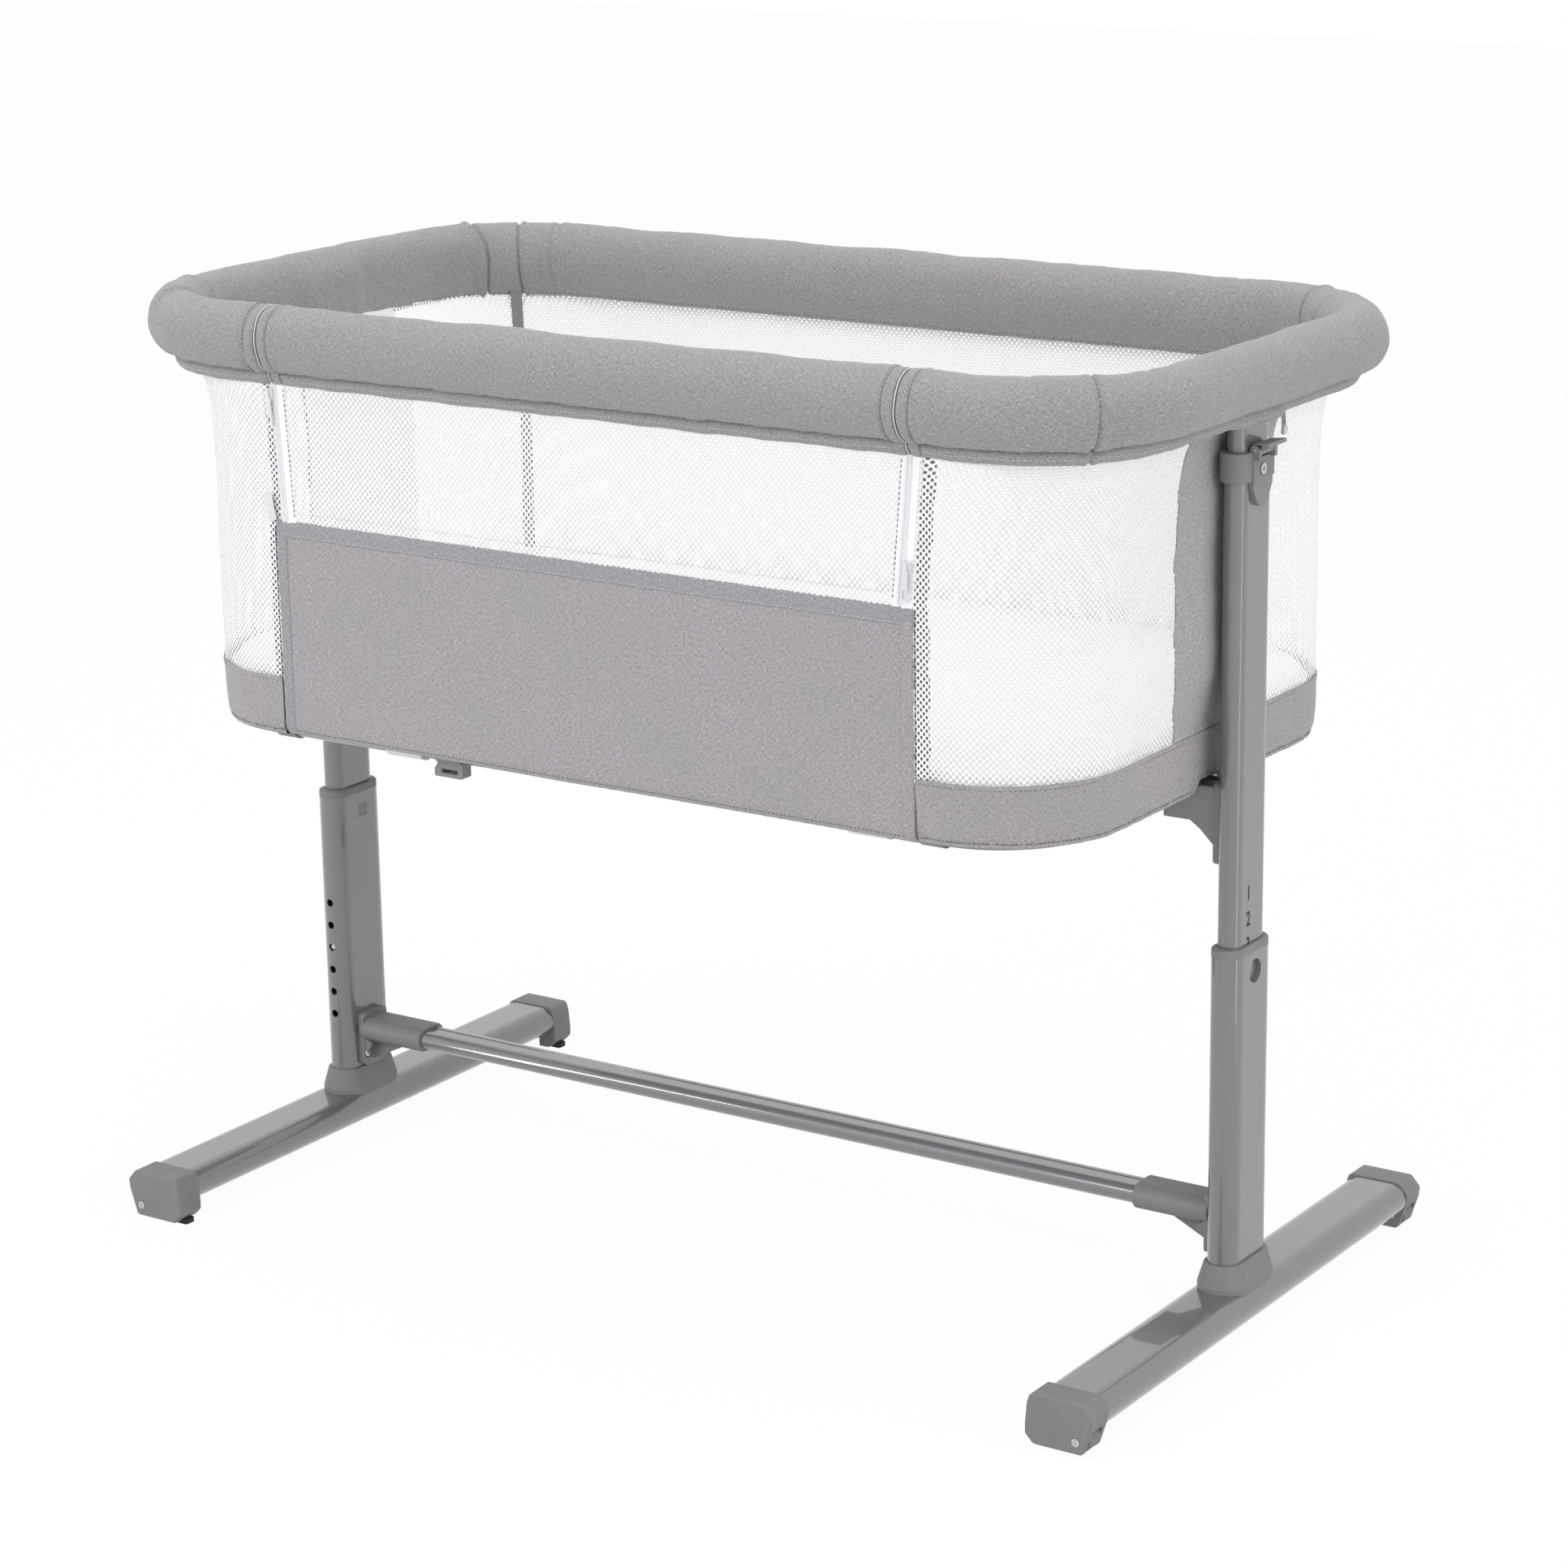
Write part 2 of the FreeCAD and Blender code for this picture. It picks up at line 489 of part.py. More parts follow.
def latch_collar():
    """Collar on the top of the inner tube with a screw lobe and two ears for the lever."""
    band = oval_bar(INNER_S + 2 * COLLAR_T, INNER_L + 7, LEG_X, 0, COLLAR_Z0, COLLAR_Z1)
    band = band.makeFillet(1.2, [e for e in band.Edges if abs(e.BoundBox.ZMax - e.BoundBox.ZMin) < 0.01])
    root = LEG_X + INNER_S / 2.0 - 2.5
    lobe = [(-15, COLLAR_Z1), (15, COLLAR_Z1), (15, COLLAR_Z0 - 4), (9, COLLAR_Z0 - 15),
            (4, COLLAR_Z0 - 19), (-4, COLLAR_Z0 - 19), (-9, COLLAR_Z0 - 15), (-15, COLLAR_Z0 - 4)]
    shield = polygon([(root, y, z) for y, z in lobe], (LOBE_X - root, 0, 0))
    shield = fillet(shield, 2.5, along(shield, V(1, 0, 0)))
    ears = []
    for y0 in (-EAR_Y, EAR_Y - EAR_T):
        ear = box(LATCH_X - BARREL_R, LATCH_X + BARREL_R, y0, y0 + EAR_T, COLLAR_Z1 - 6, LATCH_Z)
        ear = ear.fuse(rod(BARREL_R, (LATCH_X, y0, LATCH_Z), (LATCH_X, y0 + EAR_T, LATCH_Z)))
        ears.append(ear)
    body = band.fuse(shield).fuse(ears[0]).fuse(ears[1])
    body = body.cut(oval_bar(INNER_S, INNER_L, LEG_X, 0, COLLAR_Z0 - 60, INNER_TOP))
    body = body.cut(oval_bar(POST_S + 2 * PLUG_GAP, POST_L + 2 * PLUG_GAP, LEG_X, 0, INNER_TOP - 1, INNER_TOP + 16))
    inside = EAR_Y - EAR_T
    body = body.cut(box(LATCH_X - BARREL_R - 0.5, LATCH_X + 8, PLUG_GAP - inside, inside - PLUG_GAP, LATCH_Z - 6, LATCH_Z + 13))
    body = body.cut(rod(PIVOT_R, (LATCH_X, -20, LATCH_Z), (LATCH_X, 20, LATCH_Z)))
    body = body.cut(rod(SCREW_R, (LEG_X, 0, COLLAR_SCREW_Z), (LEG_X + 30, 0, COLLAR_SCREW_Z)))
    return body.cut(rod(4.6, (LOBE_X - 1.4, 0, COLLAR_SCREW_Z), (LEG_X + 30, 0, COLLAR_SCREW_Z)))


def latch_lever():
    """Thumb lever: a barrel on the pivot pin with a tongue that stands out and up."""
    half = EAR_Y - EAR_T - 0.5
    barrel = rod(BARREL_R, (LATCH_X, -half, LATCH_Z), (LATCH_X, half, LATCH_Z))
    tongue = polygon([(LATCH_X - 2, -EAR_Y, LATCH_Z + 4.8), (LATCH_X + 11, -EAR_Y, LATCH_Z + 6.4),
                      (LATCH_X + 11.5, -EAR_Y, LATCH_Z + 3.4), (LATCH_X + 3.5, -EAR_Y, LATCH_Z + 0.5),
                      (LATCH_X - 3, -EAR_Y, LATCH_Z + 1.5)], (0, 2 * EAR_Y, 0))
    tongue = fillet(tongue, 1.0, along(tongue, V(0, 1, 0)))
    low = box(LATCH_X - 8, LATCH_X + BARREL_R + 1.5, -20, -half, LATCH_Z - 5, LATCH_Z + BARREL_R + 0.6)
    high = box(LATCH_X - 8, LATCH_X + BARREL_R + 1.5, half, 20, LATCH_Z - 5, LATCH_Z + BARREL_R + 0.6)
    body = tongue.cut(low).cut(high).fuse(barrel)
    return body.cut(rod(PIVOT_R + PIVOT_GAP, (LATCH_X, -20, LATCH_Z), (LATCH_X, 20, LATCH_Z)))


right_collar = latch_collar()
save("latch_collars", half_turn(right_collar), right_collar)
right_lever = latch_lever()
save("latch_lever_right", right_lever)
save("latch_lever_left", half_turn(right_lever))
pivot = rod(PIVOT_R, (LATCH_X, 0.2 - EAR_Y, LATCH_Z), (LATCH_X, EAR_Y - 0.2, LATCH_Z))
save("latch_pivot_pins", half_turn(pivot), pivot)

seat = LOBE_X - 1.4
latch_screw = rod(SCREW_R, (LEG_X + INNER_S / 2.0 - 1.5, 0, COLLAR_SCREW_Z), (seat, 0, COLLAR_SCREW_Z))
latch_screw = latch_screw.fuse(rod(4.3, (seat, 0, COLLAR_SCREW_Z), (seat + 2.2, 0, COLLAR_SCREW_Z)))
latch_screw = latch_screw.cut(box(seat + 1.2, seat + 3, -0.4, 0.4, COLLAR_SCREW_Z - 2.4, COLLAR_SCREW_Z + 2.4))
latch_screw = latch_screw.cut(box(seat + 1.2, seat + 3, -2.4, 2.4, COLLAR_SCREW_Z - 0.4, COLLAR_SCREW_Z + 0.4))
upper_screws = [bracket_screw(LEG_X - INNER_S / 2, y, BRACKET_SCREW_Z) for y in (-SCREW_Y, SCREW_Y)]
frame_screws = [latch_screw] + upper_screws
save("frame_screws", *(frame_screws + [half_turn(s) for s in frame_screws]))


# ---- base frame under the basket ---------------------------------------
def upper_bracket():
    """Holds the base frame's end tube in a saddle against the inner leg tube."""
    face = LEG_X - INNER_S / 2
    low, under = BRACKET_LOW, BASE_Z - 27.5
    plate = box(face - PLATE_T, face, -PLATE_Y, PLATE_Y, low, BASE_Z + 4)
    plate = fillet(plate, 5.0, along(plate, V(1, 0, 0)))
    edge = PLATE_Y - 1
    arm = box(BASE_X - 15, face - 3, -edge, edge, under, BASE_Z)
    arm = fillet(arm, 3.0, [e for e in along(arm, V(0, 0, 1)) if e.BoundBox.XMax < BASE_X])
    web = polygon([(face - 5, -4, low + 10), (face - 5, -4, under + 1), (BASE_X - 4, -4, under + 1)], (0, 8, 0))
    sides = []
    for y in (-edge, edge - 3):
        sides.append(polygon([(face - 5, y, low + 14), (face - 5, y, under + 1), (BASE_X + 10, y, under + 1)], (0, 3, 0)))
    saddle = rod(BASE_R, (BASE_X, -30, BASE_Z), (BASE_X, 30, BASE_Z))
    slots = [box(BASE_X + 13, BASE_X + 24, y, y + 8, under + 5, BASE_Z + 6) for y in (-11, 3)]
    body = plate.fuse(arm).fuse(web).fuse(sides[0]).fuse(sides[1]).removeSplitter()
    body = body.cut(saddle).cut(slots[0]).cut(slots[1])
    return screw_holes(body, face, BRACKET_SCREW_Z)


right_upper = upper_bracket()
save("upper_brackets", half_turn(right_upper), right_upper)


def base_tube(a, b):
    return rod(BASE_R, a, b).cut(rod(BASE_R - 1.2, a, b))


RX0 = BASE_X - BASE_BEND
RY0, RY1 = BASE_YF + BASE_BEND, BASE_YB - BASE_BEND
base_rails = [base_tube((-RX0, y, BASE_Z), (RX0, y, BASE_Z)) for y in (BASE_YF, BASE_YB)]
base_ends = [base_tube((x, RY0, BASE_Z), (x, RY1, BASE_Z)) for x in (-BASE_X, BASE_X)]
save("base_rails", *base_rails)
save("base_end_tubes", *base_ends)


def base_corner():
    """Moulded elbow between a base rail and an end tube, front right."""
    bend = sweep(ring_section(BASE_R, 0, BASE_Z), RX0, BASE_YF, 0, [("bend", BASE_BEND, 90)])
    cuffs = []
    for a, b in (((RX0 - 16, BASE_YF, BASE_Z), (RX0 + 3, BASE_YF, BASE_Z)),
                 ((BASE_X, RY0 - 3, BASE_Z), (BASE_X, RY0 + 16, BASE_Z))):
        cuffs.append(rod(BASE_R + CUFF, a, b))
    body = bend.fuse(cuffs[0]).fuse(cuffs[1])
    body = body.cut(rod(BASE_R, (RX0 - 30, BASE_YF, BASE_Z), (RX0, BASE_YF, BASE_Z)))
    body = body.cut(rod(BASE_R, (BASE_X, RY0, BASE_Z), (BASE_X, RY0 + 30, BASE_Z)))
    return body.cut(box(-FAR, FAR, -FAR, FAR, BASE_Z + CLIP_TOP, BASE_Z + 20))


corner = base_corner()
back_corner = mirror_y(corner)
back_corner.translate(V(0, BASE_YF + BASE_YB, 0))
save("base_corner_elbows", mirror_x(corner), corner, mirror_x(back_corner), back_corner)


def base_sleeve(x, y, half):
    sleeve = rod(BASE_R + CLIP_T, (x - half, y, BASE_Z), (x + half, y, BASE_Z))
    sleeve = sleeve.cut(rod(BASE_R, (x - half - 5, y, BASE_Z), (x + half + 5, y, BASE_Z)))
    return sleeve.cut(box(x - half - 5, x + half + 5, y - 20, y + 20, BASE_Z + CLIP_TOP, BASE_Z + 20))


save("base_sleeves", *[base_sleeve(x, y, 17.0) for y in (BASE_YF, BASE_YB) for x in (-181.0, 245.0)])

BUCKLE_X = -138.5
BUCKLE_LOW = BASE_Z - 20.0
hook = [(-13.5, BUCKLE_LOW), (13.5, BUCKLE_LOW), (13.5, BASE_Z - 5), (-7.5, BASE_Z - 5), (-13.5, BUCKLE_LOW + 6)]
buckle = polygon([(BUCKLE_X + x, BASE_YF - 7, z) for x, z in hook], (0, 11, 0))
buckle = fillet(buckle, 1.5, along(buckle, V(0, 1, 0)))
buckle = buckle.fuse(base_sleeve(BUCKLE_X + 1, BASE_YF, 12.0))
buckle = buckle.cut(rod(BASE_R, (BUCKLE_X - 20, BASE_YF, BASE_Z), (BUCKLE_X + 20, BASE_YF, BASE_Z)))
buckle = buckle.cut(box(BUCKLE_X - 7, BUCKLE_X + 9, BASE_YF - 15, BASE_YF + 15, BUCKLE_LOW + 3, BUCKLE_LOW + 6.5))
save("strap_buckle", buckle)

# ---- basket -------------------------------------------------------------
# z, half length, front, back, corner radius of the outer face of the walls
LEVELS = [(SKIRT_Z, WALL_X - TUCK, WALL_YF + TUCK, WALL_YB - TUCK, WALL_R - TUCK + 1),
          (BAND_TOP, WALL_X, WALL_YF, WALL_YB, WALL_R),
          (PANEL_TOP, WALL_X, WALL_YF, WALL_YB, WALL_R),
          ((PANEL_TOP + WALL_TOP) / 2.0, WALL_X + FLARE / 5.0, WALL_YF + LEAN / 2.0, WALL_YB - LEAN / 2.0, WALL_R + 2),
          (WALL_TOP, WALL_X + FLARE, WALL_YF + LEAN, WALL_YB - LEAN, WALL_R + 7)]


def wall(levels, t, proud=0.0):
    outer = [round_wire(x + proud, f - proud, b + proud, r + proud, z) for z, x, f, b, r in levels]
    inner = [round_wire(x - t, f + t, b - t, r - t, z) for z, x, f, b, r in levels]
    return Part.makeLoft(outer, True, True).cut(Part.makeLoft(inner, True, True))


def wall_at(z):
    """Half length, front, back and corner radius of the wall's outer face at a height."""
    for low, high in zip(LEVELS, LEVELS[1:]):
        if z <= high[0]:
            break
    k = (z - low[0]) / (high[0] - low[0])
    return [a + k * (b - a) for a, b in zip(low[1:], high[1:])]


def inside_plate(inset, z0, z1):
    """Level plate that fills the basket between two heights, set in from the wall's outer face."""
    x, f, b, r = wall_at(z0)
    return round_plate(x - inset, f + inset, b - inset, r - inset, z0, z1)


def zip_x(z):
    return ZIP_LOW + (ZIP_HIGH - ZIP_LOW) * (z - PANEL_TOP) / (WALL_TOP - PANEL_TOP)


def between_zips(grow, z0):
    """Block between the two leaning zips, from z0 up past the wall, widened by grow."""
    z1 = WALL_TOP + 10.0
    a, b = zip_x(z0) + grow, zip_x(z1) + grow
    return polygon([(-a, -FAR, z0), (a, -FAR, z0), (b, -FAR, z1), (-b, -FAR, z1)], (0, FAR, 0))


mesh_ring = wall(LEVELS[1:], MESH_T)
band_ring = wall(LEVELS[:2], CLOTH_T)
strip_ring = wall(LEVELS[1:], CLOTH_T)
panel_ring = wall(LEVELS[:3], CLOTH_T)

panel_block = box(-PANEL_X, PANEL_X, -FAR, 0, SKIRT_Z - 1, PANEL_TOP)
side_block = box(-FAR, 0, -FAR, STRIP_Y0, SKIRT_Z, WALL_TOP + 1)
front_left = mesh_ring.common(side_block).cut(panel_block).cut(between_zips(TAPE_W, PANEL_TOP))
save("front_side_meshes", front_left, mirror_x(front_left))
save("back_mesh", mesh_ring.common(box(-FAR, FAR, STRIP_Y1, FAR, SKIRT_Z, WALL_TOP + 1)))
strip = strip_ring.common(box(WALL_X - 50, FAR, STRIP_Y0, STRIP_Y1, SKIRT_Z, WALL_TOP + 1))
save("leg_side_strips", mirror_x(strip), strip)
band = band_ring.cut(panel_block)
notch_y, notch_top = PLATE_Y + SOFT_GAP, BASE_Z + 4 + SOFT_GAP
for side in (-FAR, BASE_X):        # the brackets pass under the cloth on both ends
    band = band.cut(box(side, side + FAR - BASE_X, -notch_y, notch_y, SKIRT_Z - 1, notch_top))
save("lower_band", band)
save("front_panel", panel_ring.common(panel_block))
BOARD_Z = FLOOR_Z + FLOOR_T
PAD_Z = BOARD_Z + BOARD_T
save("basket_floor", inside_plate(CLOTH_T + 0.8, FLOOR_Z, BOARD_Z))
save("mattress_board", inside_plate(CLOTH_T + 6, BOARD_Z, PAD_Z))

pad = inside_plate(CLOTH_T + 4, PAD_Z, MATTRESS_TOP)
pad = pad.makeFillet(10.0, [e for e in pad.Edges if e.BoundBox.ZMin > MATTRESS_TOP - 0.1])
save("mattress", pad)

zip_ring = wall(LEVELS[2:], MESH_T, TAPE_PROUD)
open_top = PANEL_TOP + SOFT_GAP
fixed_tapes = zip_ring.common(between_zips(TAPE_W, PANEL_TOP)).cut(between_zips(SOFT_GAP, PANEL_TOP - 1))
save("basket_zip_tapes", *fixed_tapes.Solids)
moving_tapes = zip_ring.common(between_zips(-SOFT_GAP, open_top)).cut(between_zips(-TAPE_W, open_top - 1))
save("drop_side_zip_tapes", *moving_tapes.Solids)
save("drop_side_mesh", mesh_ring.common(between_zips(-TAPE_W, open_top)))


def zip_slider(side, z):
    """Slider in front of the basket's half of the zip, with its hanging pull, leaning as
    the wall and the zip lean."""
    body = box(-3.6, 3.6, -2.4, 0, -5, 5)
    body = fillet(body, 1.6, along(body, V(0, 1, 0)))
    bridge = box(-1.2, 1.2, -4.2, -2.2, -4, 4)
    pull = box(-2.4, 2.4, -3.9, -2.7, -24, -1)
    pull = fillet(pull, 1.5, along(pull, V(0, 1, 0)))
    pull = pull.cut(box(-1.2, 1.2, -5, -1, -22, -16))
    slider = body.fuse(bridge).fuse(pull)
    rise = WALL_TOP - PANEL_TOP
    slider.rotate(V(0, 0, 0), V(1, 0, 0), -math.degrees(math.atan(LEAN / rise)))
    slider.rotate(V(0, 0, 0), V(0, 1, 0), side * math.degrees(math.atan((ZIP_HIGH - ZIP_LOW) / rise)))
    y = wall_at(z)[1] - TAPE_PROUD - SOFT_GAP
    slider.translate(V(side * (zip_x(z) + SOFT_GAP + 3.9), y, z))
    return slider


save("zip_slider_left", zip_slider(-1, WALL_TOP - 9.7))
save("zip_slider_right", zip_slider(1, PANEL_TOP + 28))

zip_tab = box(-PANEL_X - 8, -PANEL_X - 0.5, WALL_YF - SOFT_GAP - 1.2, WALL_YF - SOFT_GAP, PANEL_TOP, PANEL_TOP + 21)
ribbon_z = WALL_TOP - 40.0
x, f, b, r = wall_at(ribbon_z)
reach = (r - MESH_T) * math.sqrt(0.5) - 1.2
corner_tab = box(-5, 5, -1, 1, ribbon_z, WALL_TOP)
corner_tab.rotate(V(0, 0, 0), V(0, 0, 1), 45)
corner_tab.translate(V(-(x - r + reach), b - r + reach, 0))
cover_pull = box(LEG_X + 9, LEG_X + 10.4, 36, 40, WALL_TOP - 16, WALL_TOP)
cover_pull = fillet(cover_pull, 1.2, along(cover_pull, V(1, 0, 0)))
save("fabric_tabs", zip_tab, corner_tab, cover_pull)


# ---- padded rim ---------------------------------------------------------
def pad_section(bore):
    """Outline of the padded rim: a crown that bulges out over its hem, with the tube's bore."""
    low, w, top = PAD_BOTTOM, PAD_HALF, RIM_Z + PAD_RISE
    a, b, c, d = V(0.5 - w, 0, low), V(w * 0.25, 0, low), V(w, 0, RIM_Z - 1), V(0, 0, top)
    e = V(-w, 0, RIM_Z - 1)
    crown = RIM_Z - 1 + (PAD_RISE + 1) * math.sqrt(0.5)
    edges = [Part.makeLine(a, b),
             Part.Arc(b, V(w * 0.8, 0, low + 0.4 * (RIM_Z - low)), c).toShape(),
             Part.Arc(c, V(w * math.sqrt(0.5), 0, crown), d).toShape(),
             Part.Arc(d, V(-w * math.sqrt(0.5), 0, crown), e).toShape(),
             Part.makeLine(e, a)]
    face = Part.Face(Part.Wire(edges))
    hole = Part.Face(Part.Wire(Part.makeCircle(bore, V(0, 0, RIM_Z), V(0, 1, 0))))
    return face.cut(hole)


def tee_block(grow):
    """Outside of the joint: a foot around the post and a clasp around the rim tube."""
    side = POST_S / 2.0 + TEE_WALL + grow
    reach = RIM_R + TEE_WALL + 1.4 + grow
    foot = box(LEG_X - side, LEG_X + side, -TEE_Y - grow, TEE_Y + grow, RIM_Z - 26 - grow, RIM_Z - 8)
    clasp = box(RIM_X - reach, RIM_X + reach, -TEE_Y - grow, TEE_Y + grow, RIM_Z - 14 - grow, RIM_Z + 13 + grow)
    return foot, clasp


section = pad_section(RIM_R + SOFT_GAP)
edge_x = RIM_X - RIM_BEND
pad_end = ZIP_HIGH + DROP_GAP
end_run = RIM_YB - RIM_YF - 2 * RIM_BEND
end_path = [("straight", edge_x - pad_end), ("bend", RIM_BEND, 90), ("straight", end_run), ("bend", RIM_BEND, 90)]
right_pad = sweep(section, pad_end, RIM_YF, 0, end_path)
for block in tee_block(SOFT_GAP):
    right_pad = right_pad.cut(block)
right_pad = right_pad.cut(box(LEG_X - POST_S / 2 - SOFT_GAP, LEG_X + POST_S / 2 + SOFT_GAP, -POST_L / 2 - SOFT_GAP,
                              POST_L / 2 + SOFT_GAP, PAD_BOTTOM - 1, RIM_Z - 20))
save("rim_pad_right", right_pad)
save("rim_pad_left", mirror_x(right_pad))
save("rim_pad_back", sweep(section, edge_x, RIM_YB, 180, [("straight", 2 * edge_x)]))
save("drop_rail_pad", sweep(section, DROP_GAP - ZIP_HIGH, RIM_YF, 0, [("straight", 2 * (ZIP_HIGH - DROP_GAP))]))

tube_section = ring_section(RIM_R, RIM_R - RIM_WALL, RIM_Z)
start = ZIP_HIGH + 6.0
short = edge_x - start
whole = [("straight", short), ("bend", RIM_BEND, 90), ("straight", end_run), ("bend", RIM_BEND, 90),
         ("straight", 2 * edge_x), ("bend", RIM_BEND, 90), ("straight", end_run), ("bend", RIM_BEND, 90),
         ("straight", short)]
save("rim_tube", sweep(tube_section, start, RIM_YF, 0, whole))

RAIL_X = ZIP_HIGH - 8.0            # ends of the drop rail's tube
rail = rod(RIM_R, (-RAIL_X, RIM_YF, RIM_Z), (RAIL_X, RIM_YF, RIM_Z))
rail = rail.cut(rod(RIM_R - RIM_WALL, (-RAIL_X, RIM_YF, RIM_Z), (RAIL_X, RIM_YF, RIM_Z)))
save("drop_rail_tube", rail)


def rail_plug():
    stem = rod(RIM_R - RIM_WALL, (RAIL_X - 14, RIM_YF, RIM_Z), (RAIL_X, RIM_YF, RIM_Z))
    head = rod(RIM_R, (RAIL_X, RIM_YF, RIM_Z), (ZIP_HIGH - 2 * DROP_GAP, RIM_YF, RIM_Z))
    return stem.fuse(head).cut(rod(4.0, (RAIL_X - 26, RIM_YF, RIM_Z), (RAIL_X + 3, RIM_YF, RIM_Z)))


plug = rail_plug()
save("drop_rail_plugs", mirror_x(plug), plug)

POST_TOP = RIM_Z - RIM_R - 1.0


def rim_tee():
    """Moulded joint that clasps the rim tube and sits on the post."""
    foot, clasp = tee_block(0.0)
    foot = fillet(foot, 4.0, along(foot, V(0, 0, 1)))
    clasp = fillet(clasp, 4.0, along(clasp, V(0, 0, 1)))
    block = foot.fuse(clasp).cut(rod(RIM_R, (RIM_X, -40, RIM_Z), (RIM_X, 40, RIM_Z)))
    return block.cut(oval_bar(POST_S, POST_L, LEG_X, 0, POST_TOP - 26, POST_TOP))


tee = rim_tee()
save("rim_tees", half_turn(tee), tee)
post = oval_tube(POST_S, POST_L, WALL, LEG_X, 0, INNER_TOP - 74, POST_TOP)
save("rim_posts", half_turn(post), post)
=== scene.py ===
import bpy
import json
import math
from mathutils import Matrix, Vector, noise


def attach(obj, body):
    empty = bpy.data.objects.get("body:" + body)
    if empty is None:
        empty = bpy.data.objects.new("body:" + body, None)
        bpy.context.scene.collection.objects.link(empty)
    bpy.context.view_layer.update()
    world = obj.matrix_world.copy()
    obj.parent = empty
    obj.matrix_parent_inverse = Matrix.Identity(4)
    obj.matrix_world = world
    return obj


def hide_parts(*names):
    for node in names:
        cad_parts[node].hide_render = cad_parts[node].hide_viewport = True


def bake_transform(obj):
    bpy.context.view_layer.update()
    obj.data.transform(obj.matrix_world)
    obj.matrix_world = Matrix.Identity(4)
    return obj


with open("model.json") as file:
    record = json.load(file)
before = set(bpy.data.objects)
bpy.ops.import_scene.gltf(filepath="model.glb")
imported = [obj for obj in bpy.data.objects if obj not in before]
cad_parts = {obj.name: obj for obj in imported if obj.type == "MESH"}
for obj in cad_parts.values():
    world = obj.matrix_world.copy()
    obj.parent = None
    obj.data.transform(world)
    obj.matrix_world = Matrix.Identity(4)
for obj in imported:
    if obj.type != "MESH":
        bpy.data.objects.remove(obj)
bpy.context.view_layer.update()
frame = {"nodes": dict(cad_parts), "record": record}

# Lengths below are millimetres, in the crib's own frame: +X runs along the crib, -Y is the
# drop side, +Z is up. Meshes are written out in metres.
MM = 0.001
# the cloth walls: their hidden foot, the panel's and the wall's upper edges, and how they run on
# up inside the rim cover; their front and their corners' radius
WALL_FOOT = 471.0
PANEL_TOP = 599.0
WALL_TOP = 708.7
IN_COVER = [713.0, 716.5]
WALL_FRONT = -236.0
WALL_R = 97.0
# the zips: half their distance at the panel's top and at the rim
ZIP_LOW = 281.0
ZIP_HIGH = 289.0
# half the panel's length, and the strips' two edges at the crib's ends
PANEL_X = 292.0
STRIP_Y0 = -62.0
STRIP_Y1 = 80.0
# middle line of the rim tube
RIM_X = 443.5
RIM_FRONT = -232.5
RIM_BACK = 230.0
RIM_R = 108.0
MATTRESS_TOP = 480.5


# ---- shader signals -------------------------------------------------------
class Signal:
    """A number that varies over a surface; sums and products of it add their Math nodes."""

    def __init__(self, graph, socket):
        self.graph = graph
        self.socket = socket

    def __add__(self, other):
        return self.graph.math("ADD", self, other)

    def __radd__(self, other):
        return self.graph.math("ADD", other, self)

    def __sub__(self, other):
        return self.graph.math("SUBTRACT", self, other)

    def __rsub__(self, other):
        return self.graph.math("SUBTRACT", other, self)

    def __mul__(self, other):
        return self.graph.math("MULTIPLY", self, other)

    def __rmul__(self, other):
        return self.graph.math("MULTIPLY", other, self)

    def __truediv__(self, other):
        return self.graph.math("DIVIDE", self, other)

    def __rtruediv__(self, other):
        return self.graph.math("DIVIDE", other, self)


class Graph:
    """The nodes of one material or of the world."""

    def __init__(self, tree):
        self.tree = tree
        self.tree.nodes.clear()

    def node(self, kind, settings=None, **values):
        """Add a node: settings first, then the values or links of its sockets, by name with
        _ for a space, or by place as i0, i1."""
        made = self.tree.nodes.new(kind)
        for key, value in (settings or {}).items():
            setattr(made, key, value)
        for key, value in values.items():
            by_place = key[0] == "i" and key[1:].isdigit()
            socket = made.inputs[int(key[1:])] if by_place else made.inputs[key.replace("_", " ")]
            if isinstance(value, Signal):
                value = value.socket
            if isinstance(value, bpy.types.NodeSocket):
                self.tree.links.new(value, socket)
            else:
                socket.default_value = value
        return made

    def signal(self, made, output=0):
        return Signal(self, made.outputs[output])

    def math(self, operation, a, b=0.0):
        return self.signal(self.node("ShaderNodeMath", {"operation": operation}, i0=a, i1=b))

    def lesser(self, a, b):
        return self.math("MINIMUM", a, b)

    def greater(self, a, b):
        return self.math("MAXIMUM", a, b)

    def background_rays(self):
        """1 for the rays that should see the plain background: camera, glossy and transmitted."""
        ray = self.node("ShaderNodeLightPath")
        seen = self.greater(self.signal(ray, "Is Camera Ray"), self.signal(ray, "Is Glossy Ray"))
        return self.greater(seen, self.signal(ray, "Is Transmission Ray"))


